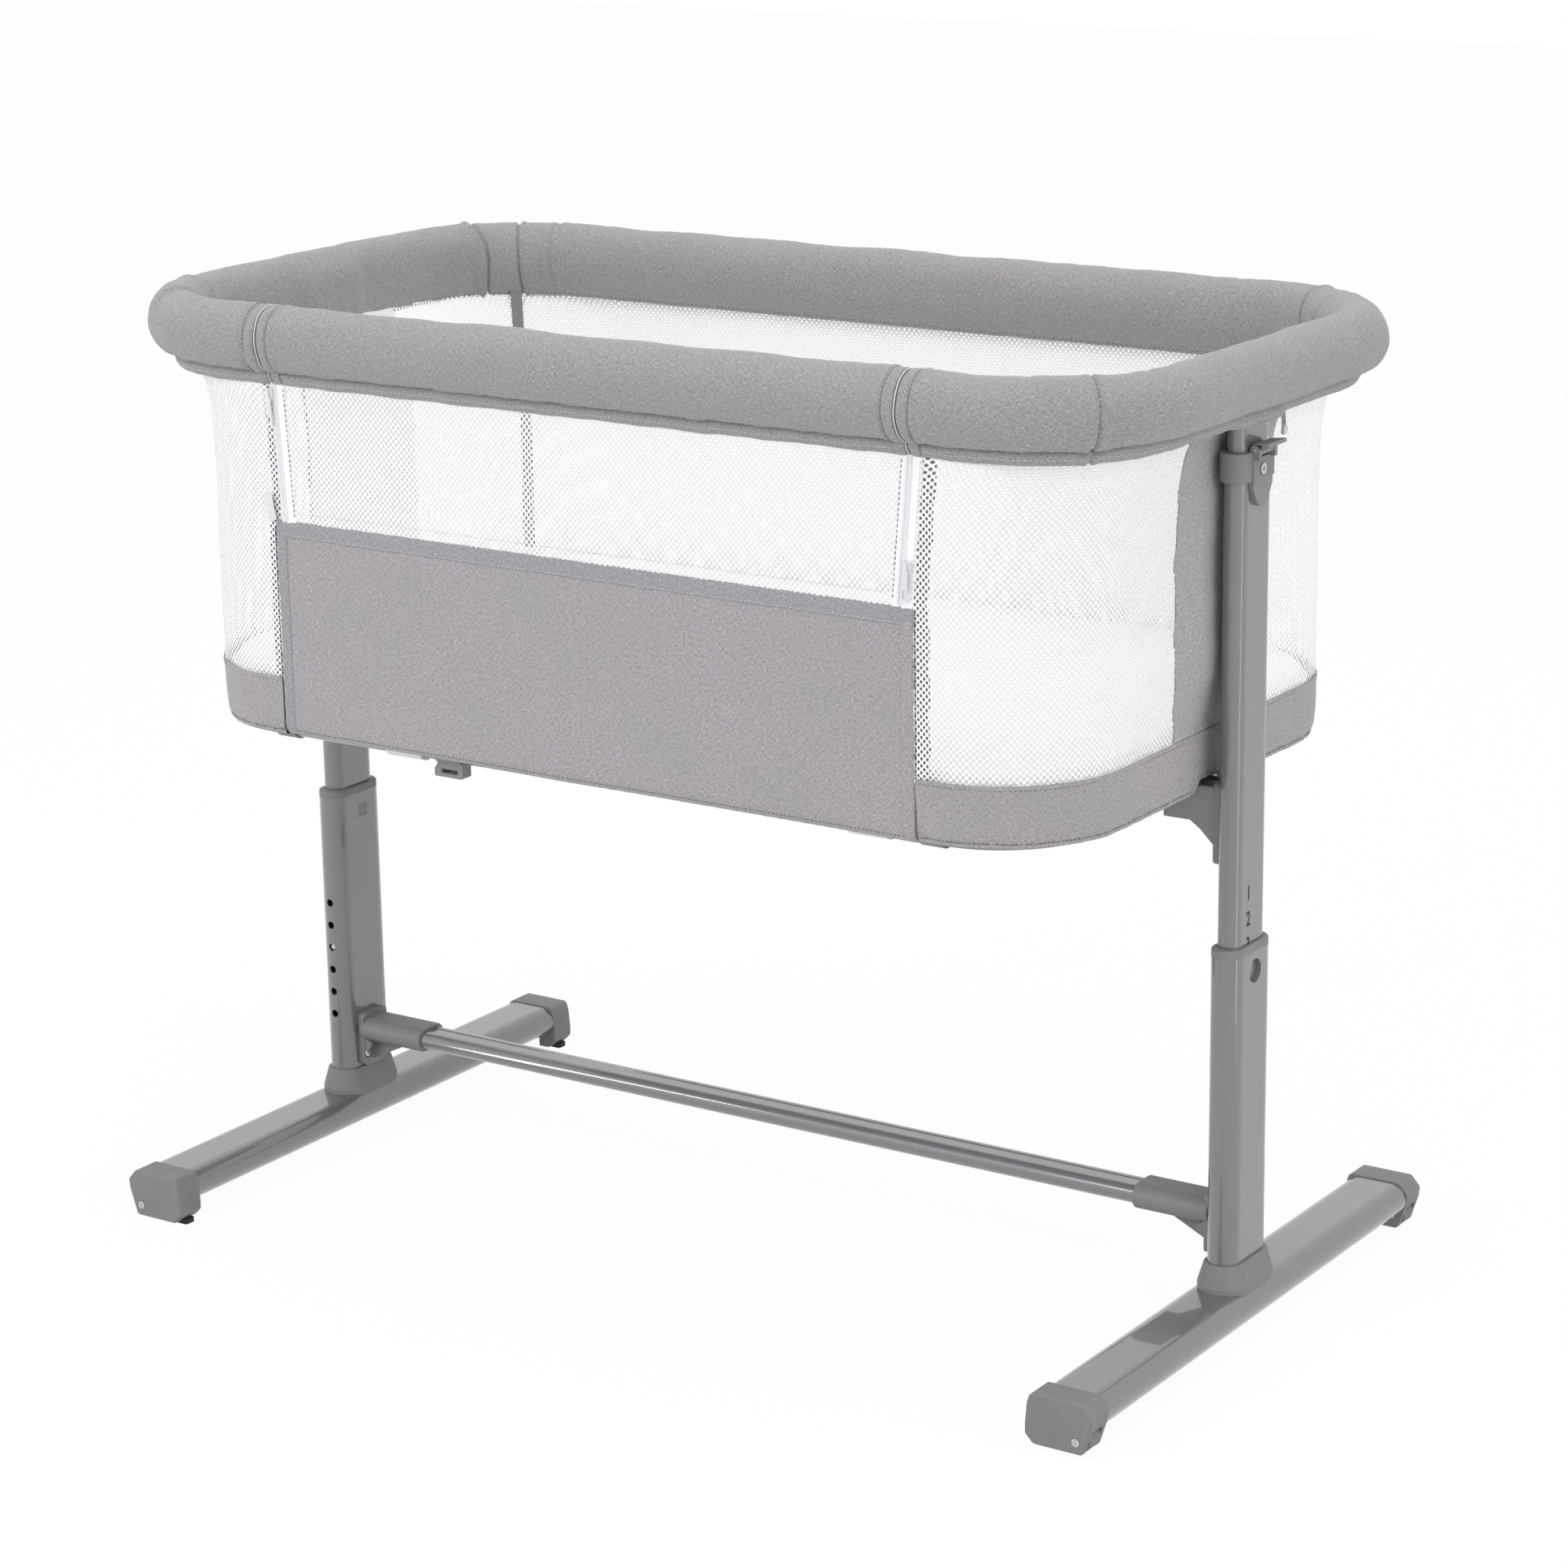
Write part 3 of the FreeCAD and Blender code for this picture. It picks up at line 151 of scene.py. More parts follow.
class Finish(Graph):
    """One material and the nodes that make it."""

    def __init__(self, name):
        self.material = bpy.data.materials.new(name)
        self.material.use_nodes = True
        super().__init__(self.material.node_tree)

    def step(self, value, low, high):
        """0 below low, 1 above high, smooth between."""
        made = self.node("ShaderNodeMapRange", {"interpolation_type": "SMOOTHSTEP"},
                         i0=value, i1=low, i2=high, i3=0.0, i4=1.0)
        return self.signal(made)

    def sine(self, value):
        return self.math("SINE", value, 0.0)

    def mix(self, factor, a, b):
        return self.node("ShaderNodeMix", {"data_type": "RGBA"}, i0=factor, i6=a, i7=b).outputs[2]

    def cloth_place(self):
        """Place on the cloth in millimetres, along and across it."""
        place = self.node("ShaderNodeTexCoord").outputs["UV"]
        parts = self.node("ShaderNodeSeparateXYZ", Vector=place)
        return self.signal(parts, 0) * 1000.0, self.signal(parts, 1) * 1000.0

    def solid_place(self, scale=(1.0, 1.0, 1.0)):
        """Place in the crib's frame in millimetres, each axis scaled."""
        full = tuple(1000.0 * s for s in scale)
        place = self.node("ShaderNodeTexCoord").outputs["Object"]
        return self.node("ShaderNodeVectorMath", {"operation": "MULTIPLY"}, i0=place, i1=full).outputs[0]

    def join(self, x, y, z=0.0):
        return self.node("ShaderNodeCombineXYZ", i0=x, i1=y, i2=z).outputs[0]

    def noise(self, place, scale=1.0, detail=2.0, roughness=0.5):
        made = self.node("ShaderNodeTexNoise", None, Vector=place, Scale=scale, Detail=detail,
                         Roughness=roughness)
        return self.signal(made, "Fac")

    def yarn(self, x, y, seed=0.0):
        """Plain noise of one octave, for yarn ends of the size that x and y are divided by."""
        return self.noise(self.join(x, y, seed), 1.0, 1.0, 0.5)

    def bump(self, height, strength, distance):
        return self.node("ShaderNodeBump", None, Height=height, Strength=strength,
                         Distance=distance * MM).outputs[0]

    def surface(self, **values):
        shader = self.node("ShaderNodeBsdfPrincipled", None, **values)
        self.node("ShaderNodeOutputMaterial", None, Surface=shader.outputs[0])
        return self.material


def grey(level):
    return (level, level, level, 1.0)


def tone(r, g, b):
    """A colour written as the 0 to 255 that it shows."""
    def line(c):
        c = c / 255.0
        return c / 12.92 if c < 0.04045 else ((c + 0.055) / 1.055) ** 2.4
    return (line(r), line(g), line(b), 1.0)


# ---- finishes -------------------------------------------------------------
def melange_cloth(name, dark, light, patch, high, thread=0.62):
    """Plain-woven mottled cloth: pale and dark yarn ends show along both thread directions."""
    f = Finish(name)
    u, v = f.cloth_place()
    weft = f.yarn(u / 2.6, v / 0.3)
    warp = f.yarn(u / 0.3, v / 2.6, 7.0)
    over = f.sine(u * (math.pi / thread)) * f.sine(v * (math.pi / thread))
    fleck = f.step(weft * 0.5 + warp * 0.5, 0.38, 0.62)
    broad = f.noise(f.join(u, v, 3.0), 0.012, 3.0, 0.55)
    slub = f.step(f.yarn(u / 6.0, v / 0.34, 11.0), 0.64, 0.72)
    pick = f.step(f.yarn(u / 0.34, v / 5.6, 19.0), 0.66, 0.74)
    deep = f.step(f.yarn(u / 4.2, v / 0.36, 27.0), 0.66, 0.75)
    colour = f.mix(fleck * 0.8 + over * 0.06 + 0.1, dark, light)
    colour = f.mix(f.step(broad, 0.35, 0.68) * 0.26, colour, patch)
    colour = f.mix(f.greater(slub * 0.62, pick * 0.42), colour, high)
    colour = f.mix(deep * 0.4, colour, dark)
    height = over * 0.5 + fleck * 0.8
    return f.surface(Base_Color=colour, Roughness=0.86 + fleck * 0.08, Normal=f.bump(height, 0.42, 0.28),
                     Sheen_Weight=0.22, Sheen_Roughness=0.5, Specular_IOR_Level=0.25)


def open_mesh(name, low, high):
    """Warp-knit netting: staggered oval holes between white knitted bars, which are drawn darker towards the
    holes as painted shade.
    """
    pitch, row = 2.4, 5.1
    hole_wide, hole_high = 1.02, 1.25
    see_through = 0.94
    f = Finish(name)
    u, v = f.cloth_place()
    drift = f.noise(f.join(u, v, 5.0), 0.02, 2.0, 0.5)
    u = u + (drift - 0.5) * 3.0
    v = v + (f.noise(f.join(u, v, 15.0), 0.018, 2.0, 0.5) - 0.5) * 4.0

    def holes(du, dv):
        a = (f.math("FRACT", (u + du) / (2 * pitch)) - 0.5) * (2 * pitch / hole_wide)
        b = (f.math("FRACT", (v + dv) / row) - 0.5) * (row / hole_high)
        return f.math("SQRT", a * a + b * b)

    away = f.lesser(holes(0.0, 0.0), holes(pitch, row / 2.0))
    bar = f.step(away, 0.82, 1.12)
    ridge_and_shade = f.step(away, 0.9, 1.9)
    rib = f.sine(v * (2 * math.pi / 0.9)) * 0.5 + 0.5
    # painted shade: the bars' colour darkens towards the holes, down their sloping sides
    colour = f.mix(ridge_and_shade, low, high)
    return f.surface(Base_Color=colour, Roughness=0.7 + rib * 0.15,
                     Alpha=bar * see_through + (1.0 - see_through),
                     Normal=f.bump(ridge_and_shade + rib * 0.12, 0.5, 0.5), Sheen_Weight=0.15, Specular_IOR_Level=0.3)


def ribbed_tape(name, colour, high, pitch=0.9):
    """Woven tape with fine ribs across it."""
    f = Finish(name)
    u, v = f.cloth_place()
    rib = f.sine(v * (2 * math.pi / pitch)) * 0.5 + 0.5
    tick = f.noise(f.join(u / 0.5, v / 2.0), 1.0, 2.0, 0.5)
    shade = f.mix(rib * 0.35 + tick * 0.25, colour, high)
    return f.surface(Base_Color=shade, Roughness=0.66 + tick * 0.2,
                     Normal=f.bump(rib + tick * 0.5, 0.35, 0.25), Specular_IOR_Level=0.3)


def smooth_knit(name, colour, low):
    """Close pale jersey of the mattress cover and of the strips' lining."""
    f = Finish(name)
    u, v = f.cloth_place()
    loops = f.sine(u * (2 * math.pi / 1.1)) * f.sine(v * (2 * math.pi / 1.4))
    soft = f.noise(f.solid_place(), 0.02, 3.0, 0.5)
    shade = f.mix(f.step(soft, 0.3, 0.75) * 0.4 + loops * 0.05 + 0.05, colour, low)
    return f.surface(Base_Color=shade, Roughness=0.82 + loops * 0.06,
                     Normal=f.bump(loops + soft * 3.0, 0.25, 0.25), Sheen_Weight=0.2, Specular_IOR_Level=0.25)


def gloss_paint(name, colour, wear_and_highlight):
    """Powder-coated steel: a fine orange peel, faint vertical streaks drawn lighter as painted highlight, and
    a clear gloss.
    """
    f = Finish(name)
    peel = f.noise(f.solid_place(), 0.9, 2.0, 0.5)
    highlight_streaks = f.step(f.noise(f.solid_place((0.5, 0.5, 0.06)), 0.22, 4.0, 0.6), 0.56, 0.8)
    # painted highlight: faint vertical streaks, a little rougher, mixed towards the lighter second tone
    shade = f.mix(highlight_streaks * 0.3, colour, wear_and_highlight)
    return f.surface(Base_Color=shade, Metallic=0.3, Roughness=0.36 + highlight_streaks * 0.12 + peel * 0.06,
                     Normal=f.bump(peel, 0.03, 0.1), Coat_Weight=1.0, Coat_Roughness=0.05, Coat_IOR=1.7)


def moulded(name, colour, high, grain=2.4, rough=0.5):
    """Moulded plastic with a fine spark-eroded grain and softly polished edges, which are also drawn lighter
    as painted highlight.
    """
    f = Finish(name)
    spark = f.noise(f.solid_place(), grain, 3.0, 0.6)
    flow = f.noise(f.solid_place((1.0, 1.0, 0.35)), 0.05, 3.0, 0.5)
    edge = f.step(f.signal(f.node("ShaderNodeNewGeometry"), "Pointiness"), 0.51, 0.6)
    shade = f.mix(flow * 0.35 + spark * 0.12, colour, high)
    # painted highlight: convex edges, found by their pointiness, mixed towards the lighter tone
    shade = f.mix(edge * 0.35, shade, high)
    return f.surface(Base_Color=shade, Roughness=rough + spark * 0.14 - edge * 0.12,
                     Normal=f.bump(spark, 0.22, 0.1), Specular_IOR_Level=0.4)


def rubber(name):
    """Dark rubber with dust in its pores."""
    f = Finish(name)
    dust = f.noise(f.solid_place(), 0.35, 4.0, 0.6)
    shade = f.mix(f.step(dust, 0.5, 0.8) * 0.4, grey(0.02), grey(0.09))
    return f.surface(Base_Color=shade, Roughness=0.75 + dust * 0.15, Normal=f.bump(dust, 0.2, 0.15))


def turned_steel(name, level, rough):
    """Bare steel with fine tool lines."""
    f = Finish(name)
    lines = f.noise(f.solid_place((0.3, 3.0, 3.0)), 1.2, 3.0, 0.6)
    shade = f.mix(lines * 0.5, grey(level), grey(level * 0.72))
    return f.surface(Base_Color=shade, Metallic=1.0, Roughness=rough + lines * 0.16,
                     Normal=f.bump(lines, 0.1, 0.05))


def pressed_board(name):
    """Brown fibre board."""
    f = Finish(name)
    fibre = f.noise(f.solid_place((0.2, 1.0, 1.0)), 0.5, 4.0, 0.65)
    shade = f.mix(fibre, tone(150, 118, 82), tone(196, 166, 124))
    return f.surface(Base_Color=shade, Roughness=0.7 + fibre * 0.2, Normal=f.bump(fibre, 0.2, 0.3))


def twisted_thread(name, colour, high):
    """Sewing thread."""
    f = Finish(name)
    twist = f.noise(f.solid_place(), 1.8, 2.0, 0.5)
    return f.surface(Base_Color=f.mix(twist, colour, high), Roughness=0.75 + twist * 0.15,
                     Normal=f.bump(twist, 0.2, 0.1))


def printed_ink(name):
    """Dark print, a little worn."""
    f = Finish(name)
    wear_and_highlight = f.noise(f.solid_place(), 0.8, 4.0, 0.65)
    shade = f.mix(f.step(wear_and_highlight, 0.55, 0.85) * 0.5, grey(0.012), grey(0.08))
    return f.surface(Base_Color=shade, Roughness=0.45 + wear_and_highlight * 0.2, Normal=f.bump(wear_and_highlight, 0.05, 0.05))


# each cloth: its dark and its light yarn, the broad patches and the pale slubs
RIM_CLOTH = melange_cloth("rim cloth", tone(106, 103, 105), tone(174, 171, 172),
                          tone(143, 140, 141), tone(202, 199, 200))
PANEL_CLOTH = melange_cloth("lower cloth", tone(116, 112, 116), tone(186, 181, 186),
                            tone(146, 146, 149), tone(208, 204, 208))
STRIP_CLOTH = melange_cloth("leg strip cloth", tone(122, 119, 121), tone(190, 187, 189),
                            tone(154, 153, 155), tone(208, 206, 208))
HEM_CLOTH = melange_cloth("folded hem cloth", tone(110, 109, 113), tone(177, 175, 180),
                          tone(141, 142, 146), tone(200, 199, 203))
FLOOR_CLOTH = melange_cloth("floor cloth", tone(158, 157, 159), tone(204, 203, 205),
                            tone(182, 182, 184), tone(218, 218, 219))
LINING = smooth_knit("pale strip lining", tone(226, 226, 229), tone(214, 214, 217))
NETTING = open_mesh("white netting", tone(220, 220, 223), tone(244, 244, 246))
# the back's netting is a lighter copy of the white netting: painted light for the light that shines through
# it from behind
LIT_BACK_NETTING = open_mesh("white netting of the back with painted light", tone(240, 240, 241), tone(252, 252, 252))
BACKING = ribbed_tape("dark seam binding", tone(106, 105, 107), tone(132, 131, 133), 1.0)
TAPE = ribbed_tape("white zip tape", tone(240, 240, 243), tone(226, 226, 229))
RIBBON = ribbed_tape("pale ribbon", tone(204, 204, 206), tone(226, 226, 229), 1.2)
CORNER_TAPE = ribbed_tape("grey corner tape", tone(118, 118, 120), tone(150, 150, 152), 1.1)
COVER_KNIT = smooth_knit("mattress cover knit", tone(244, 244, 245), tone(228, 228, 231))
COIL = moulded("white coil", tone(236, 236, 240), tone(250, 250, 252), 3.0, 0.4)
COIL_GREY = moulded("grey zip coil", tone(196, 196, 198), tone(214, 214, 216), 3.0, 0.4)
# the leg paint's second tone is the painted highlight of its vertical streaks
PAINT = gloss_paint("leg paint", tone(109, 109, 113), tone(134, 134, 138))
GREY_PLASTIC = moulded("grey moulding", tone(116, 116, 117), tone(134, 134, 135))
PALE_PLASTIC = moulded("pale moulding", tone(208, 208, 209), tone(224, 224, 225))
RUBBER = rubber("dark rubber")
SCREW_STEEL = turned_steel("screw steel", 0.62, 0.26)
SPRING_STEEL = turned_steel("spring steel", 0.42, 0.3)
SLIDER_METAL = moulded("pale slider enamel", tone(202, 202, 206), tone(224, 224, 227), 3.0, 0.3)
BOARD = pressed_board("pressed board")
DARK_THREAD = twisted_thread("dark thread", tone(72, 70, 72), tone(104, 102, 104))
PALE_THREAD = twisted_thread("pale thread", tone(190, 188, 188), tone(214, 212, 212))
INK = printed_ink("height numbers ink")

# the hard pieces keep their solids and get their finish by material slot
SLOT_FINISH = {"frame_paint": PAINT, "grey_plastic": GREY_PLASTIC, "pale_plastic": PALE_PLASTIC,
               "dark_rubber": RUBBER, "screw_steel": SCREW_STEEL, "spring_steel": SPRING_STEEL,
               "slider_metal": SLIDER_METAL, "board_fibre": BOARD}
for part in frame["record"]["subparts"]:
    if part["material_slot"] in SLOT_FINISH:
        for place in frame["nodes"][part["node"]].material_slots:
            place.material = SLOT_FINISH[part["material_slot"]]


# ---- mesh building --------------------------------------------------------
def lengths(points):
    """How far along a line of points each of them lies."""
    out = [0.0]
    for a, b in zip(points, points[1:]):
        out.append(out[-1] + (Vector(b) - Vector(a)).length)
    return out


def new_piece(name, data, material, body):
    """Make a mesh a piece of the crib. body None leaves it unattached."""
    data.materials.append(material)
    piece = bpy.data.objects.new(name, data)
    bpy.context.scene.collection.objects.link(piece)
    if body:
        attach(piece, body)
    return piece


def woven(name, rows, places, material, body, ring=False):
    """A surface through rows of points; places gives the cloth's own coordinates of each point
    in millimetres. ring closes each row on itself and caps the first and the last row."""
    count = len(rows[0])
    verts = [(x * MM, y * MM, z * MM) for row in rows for x, y, z in row]
    faces = []
    coords = []
    for i in range(len(rows) - 1):
        for j in range(count if ring else count - 1):
            k = (j + 1) % count
            faces.append((i * count + j, (i + 1) * count + j, (i + 1) * count + k, i * count + k))
            for a, b in ((i, j), (i + 1, j), (i + 1, j + 1), (i, j + 1)):
                u, v = places[a][b]
                coords.append((u * MM, v * MM))
    if ring:
        for i, order in ((0, 1), (len(rows) - 1, -1)):
            loop = [i * count + j for j in range(count)][::order]
            faces.append(tuple(loop))
            for index in loop:
                x, y, z = rows[i][index - i * count]
                coords.append(((x + y) * MM, z * MM))
    data = bpy.data.meshes.new(name)
    data.from_pydata(verts, [], faces)
    layer = data.uv_layers.new(name="cloth")
    for loop, place in zip(layer.data, coords):
        loop.uv = place
    for polygon in data.polygons:
        polygon.use_smooth = len(polygon.vertices) == 4
    return new_piece(name, data, material, body)


def capsules(name, items, material, body):
    """Short six-sided bars with rounded ends, each given by its two ends, the way up and its
    radius."""
    sides = 6
    sections = ((0.0, 0.3, -0.4), (0.16, 1.0, 0.0), (0.84, 1.0, 0.0), (1.0, 0.3, -0.4))
    verts = []
    faces = []
    for a, b, up, radius in items:
        forward_way = (b - a).normalized()
        side = forward_way.cross(up).normalized()
        up = side.cross(forward_way).normalized()
        base = len(verts)
        for share, squeeze, lift in sections:
            middle = a.lerp(b, share) + up * (lift * radius)
            for k in range(sides):
                angle = math.tau * k / sides
                p = middle + (side * math.cos(angle) + up * math.sin(angle)) * radius * squeeze
                verts.append(tuple(c * MM for c in p))
        for ring in range(len(sections) - 1):
            low = base + ring * sides
            for k in range(sides):
                m = (k + 1) % sides
                faces.append((low + k, low + m, low + sides + m, low + sides + k))
        last = base + (len(sections) - 1) * sides
        faces.append(tuple(base + k for k in reversed(range(sides))))
        faces.append(tuple(last + k for k in range(sides)))
    data = bpy.data.meshes.new(name)
    data.from_pydata(verts, [], faces)
    for polygon in data.polygons:
        polygon.use_smooth = True
    return new_piece(name, data, material, body)


def stitches(name, runs, material, body, length, gap, radius):
    """Short rounded stitches along runs of (point, outward direction) pairs."""
    proud = 0.12
    items = []
    for run in runs:
        points = [Vector(p) for p, n in run]
        normals = [Vector(n) for p, n in run]
        at = lengths(points)
        start = gap
        i = 0
        while start + length < at[-1]:
            ends = []
            for s in (start, start + length):
                while i < len(at) - 2 and at[i + 1] < s:
                    i += 1
                w = (s - at[i]) / max(1e-6, at[i + 1] - at[i])
                ends.append((points[i].lerp(points[i + 1], w), normals[i].lerp(normals[i + 1], w)))
            (a, way_a), (b, way_b) = ends
            up = (way_a + way_b).normalized()
            items.append((a + up * proud, b + up * proud, up, radius))
            start += length + gap
    return capsules(name, items, material, body)


def ease(value, low, high):
    """0 below low, 1 above high, smooth between."""
    t = min(1.0, max(0.0, (value - low) / (high - low)))
    return t * t * (3.0 - 2.0 * t)


def near(value, middle, reach):
    """1 at the middle, falling away over the reach on both sides."""
    return math.exp(-abs(value - middle) / reach)


def past(value, edge, reach):
    """1 up to the edge, falling away over the reach beyond it."""
    return math.exp(-max(0.0, value - edge) / reach)


def dip(off, half):
    """1 on the line, falling away as a bell of this half width."""
    return math.exp(-(off / half) ** 2)


def wobble(x, y, z, size, seed=0.0):
    """Smooth noise of a size in millimetres, about -1 to 1."""
    return noise.noise(Vector((x / size + seed, y / size - seed, z / size + 2.0 * seed)))


def steps(a, b, size):
    """Even places from a to b, no further apart than size."""
    count = max(1, int(math.ceil(abs(b - a) / size)))
    return [a + (b - a) * i / count for i in range(count + 1)]


def along(value, table):
    """A smooth curve through a table of (place, size) pairs."""
    if value <= table[0][0]:
        return float(table[0][1])
    if value >= table[-1][0]:
        return float(table[-1][1])
    pairs = list(zip(table, table[1:]))
    k = max(i for i in range(len(pairs)) if table[i][0] <= value)
    slope = [(high[1] - low[1]) / (high[0] - low[0]) for low, high in pairs]
    lean = [slope[0]]
    for a, b in zip(slope, slope[1:]):
        lean.append(0.0 if a * b <= 0 else 2 * a * b / (a + b))
    lean.append(slope[-1])
    step = table[k + 1][0] - table[k][0]
    w = (value - table[k][0]) / step
    return ((2 * w ** 3 - 3 * w ** 2 + 1) * table[k][1] + (w ** 3 - 2 * w ** 2 + w) * step * lean[k]
            + (3 * w ** 2 - 2 * w ** 3) * table[k + 1][1] + (w ** 3 - w ** 2) * step * lean[k + 1])


# ---- the basket's outline -------------------------------------------------
# size by height: half the length, the front, the back and the corners' radius
WALL_X_AT = ((418, 396), (427, 402), (440, 404), (473, 405), (560, 405), (599, 405),
             (645, 406.5), (672, 408.8), (690, 412.5), (708.7, 423), (717, 429))
WALL_FRONT_AT = ((418, -228), (427, -233), (440, -235), (473, -236), (560, -236), (599, -236),
                 (654, -235), (708.7, -234), (717, -233.5))
WALL_BACK_AT = ((418, 233), (427, 238), (440, 240), (473, 241), (560, 241), (599, 241),
                (654, 240), (708.7, 239), (717, 238))
WALL_R_AT = ((418, 92), (427, 95), (473, 97), (560, 97), (599, 97), (654, 99), (708.7, 104), (717, 106))
# straight stretches between the corners, and the end of their part that never moves
FRONT_HALF = 308.0
FRONT_STILL = 298.0
END_FRONT = 139.0
END_BACK = 144.0
END_STILL = 90.0
END_LENGTH = END_FRONT + END_BACK
QUARTER = WALL_R * math.pi / 2
# where the right end, the back, the left end and the front's left half start on the way round
T_RIGHT = FRONT_HALF + QUARTER
T_BACK = T_RIGHT + END_LENGTH + QUARTER
T_LEFT = T_BACK + 2 * FRONT_HALF + QUARTER
T_FRONT = T_LEFT + END_LENGTH + QUARTER
T_ROUND = T_FRONT + FRONT_HALF
# the wall stays inside the posts
POST_INSIDE = 420.6


def spread(value, inner, end, new_end):
    """Straight stretch whose middle stays put and whose last part reaches a moved end."""
    size = abs(value)
    if size <= inner:
        return value
    return math.copysign(inner + (size - inner) * (new_end - inner) / (end - inner), value)


def wall(t, z, out=0.0):
    """Point on the wall t millimetres round from the middle of the front, at height z, moved
    outwards by out; and the way out."""
    half, bend = along(z, WALL_X_AT), along(z, WALL_R_AT)
    front, back = along(z, WALL_FRONT_AT), along(z, WALL_BACK_AT)
    t = t % T_ROUND

    def turn(start):
        return math.sin((t - start) / WALL_R), math.cos((t - start) / WALL_R)

    def end_y(d):
        if d < 0:
            return spread(d, END_STILL, END_FRONT, -(front + bend))
        return spread(d, END_STILL, END_BACK, back - bend)

    if t < FRONT_HALF or t >= T_FRONT:
        x = spread(t if t < FRONT_HALF else t - T_ROUND, FRONT_STILL, FRONT_HALF, half - bend)
        y, nx, ny = front, 0.0, -1.0
    elif t < T_RIGHT:
        s, c = turn(FRONT_HALF)
        nx, ny = s, -c
        x, y = half - bend + bend * nx, front + bend + bend * ny
    elif t < T_RIGHT + END_LENGTH:
        x, nx, ny = half, 1.0, 0.0
        y = end_y(-END_FRONT + t - T_RIGHT)
    elif t < T_BACK:
        s, c = turn(T_RIGHT + END_LENGTH)
        nx, ny = c, s
        x, y = half - bend + bend * nx, back - bend + bend * ny
    elif t < T_BACK + 2 * FRONT_HALF:
        x = spread(FRONT_HALF - (t - T_BACK), FRONT_STILL, FRONT_HALF, half - bend)
        y, nx, ny = back, 0.0, 1.0
    elif t < T_LEFT:
        s, c = turn(T_BACK + 2 * FRONT_HALF)
        nx, ny = -s, c
        x, y = -half + bend + bend * nx, back - bend + bend * ny
    elif t < T_LEFT + END_LENGTH:
        x, nx, ny = -half, -1.0, 0.0
        y = end_y(END_BACK - (t - T_LEFT))
    else:
        s, c = turn(T_LEFT + END_LENGTH)
        nx, ny = -c, -s
        x, y = -half + bend + bend * nx, front + bend + bend * ny
    if abs(nx) > 0.9 and abs(y) < 50:
        tight = 1.0 - ease(abs(y), 33, 49)
        x = math.copysign(abs(x) - tight * max(0.0, abs(x) - POST_INSIDE), x)
    # slack cloth moves a little, most at mid height
    free = ease(z, 480, 540) * (1.0 - ease(z, 660, 700))
    give = free * (1.3 * wobble(x, y, z, 95.0) + 0.5 * wobble(x, y, z, 33.0, 4.0))
    return (x + nx * (out + give), y + ny * (out + give), z), (nx, ny, 0.0)


def right_y(y):
    """Distance round the wall to a place y on the right end."""
    return T_RIGHT + y + END_FRONT


def left_y(y):
    """Distance round the wall to a place y on the left end."""
    return T_LEFT + END_BACK - y


def zip_x(z):
    """Half the distance between the zips at a height."""
    return ZIP_LOW + (ZIP_HIGH - ZIP_LOW) * (z - PANEL_TOP) / (WALL_TOP - PANEL_TOP)


# a sheet's flat size is taken as no narrower than this, in metres
LEAST_WIDTH = 0.0102


def hung(piece):
    """Work out the flat size that a sheet's own cloth coordinates and area give; the size is not kept."""
    data = piece.data
    layer = data.uv_layers["cloth"].data
    us = [loop.uv[0] for loop in layer]
    vs = [loop.uv[1] for loop in layer]
    width = max(LEAST_WIDTH, max(us) - min(us))
    length = max(LEAST_WIDTH, max(vs) - min(vs))
    area = sum(polygon.area for polygon in data.polygons)
    if area > width * length:
        grow = math.sqrt(area / (width * length)) * 1.0005
        width = width * grow
        length = length * grow


def wall_sheet(name, z_list, t_range, material, out, step, shape=None):
    """Cloth on the basket's wall at a list of heights. t_range gives its two edges at a height,
    shape how far a point moves outwards."""
    rows = []
    places = []
    first, last = t_range(z_list[0])
    count = max(2, int(abs(last - first) / step))
    for z in z_list:
        a, b = t_range(z)
        ts = [a + (b - a) * j / count for j in range(count + 1)]
        rows.append([wall(t, z, out + (shape(t, z) if shape else 0.0))[0] for t in ts])
        places.append([(t, z) for t in ts])
    return woven(name, rows, places, material, "basket")


# ---- mesh walls -----------------------------------------------------------
WALL_HEIGHTS = steps(WALL_FOOT, PANEL_TOP, 8.0) + steps(PANEL_TOP, WALL_TOP, 5.5)[1:] + IN_COVER


def beside_zip(z):
    """Where the fixed mesh starts at a height: at the panel's edge, and above it at the zip."""
    at_panel = PANEL_X - 1.0
    return at_panel + (zip_x(max(z, PANEL_TOP)) + 1.2 - at_panel) * ease(z, 597.0, 600.5)


def mesh_ripple(t, z):
    """Puckers of the netting along its lower and upper seams."""
    beat = math.sin(t / 3.1 + 2.0 * wobble(t, 0, 0, 40.0)) * 0.35 + math.sin(t / 7.3) * 0.3
    return (past(z, 476.0, 12.0) + past(-z, -706.0, 9.0)) * beat


def netting_wall(name, t_range, material, step):
    """A fixed mesh wall, from inside the band up into the cover's hem."""
    return wall_sheet(name, WALL_HEIGHTS, t_range, material, 0.0, step, mesh_ripple)


mesh_right = netting_wall("front_mesh_right", lambda z: (beside_zip(z), right_y(STRIP_Y0 + 1.5)),
                          NETTING, 5.0)
mesh_left = netting_wall("front_mesh_left", lambda z: (left_y(STRIP_Y0 + 1.5), T_ROUND - beside_zip(z)),
                         NETTING, 5.0)
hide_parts("front_side_meshes")
mesh_back = netting_wall("back_mesh_wall", lambda z: (right_y(STRIP_Y1 - 1.5), left_y(STRIP_Y1 - 1.5)),
                         LIT_BACK_NETTING, 5.5)
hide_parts("back_mesh")


def strip_edge(place):
    """How far a strip's woven edge wanders at a height."""
    return 1.1 * math.sin(place / 9.0) + 0.9 * math.sin(place / 4.3 + 1.7)


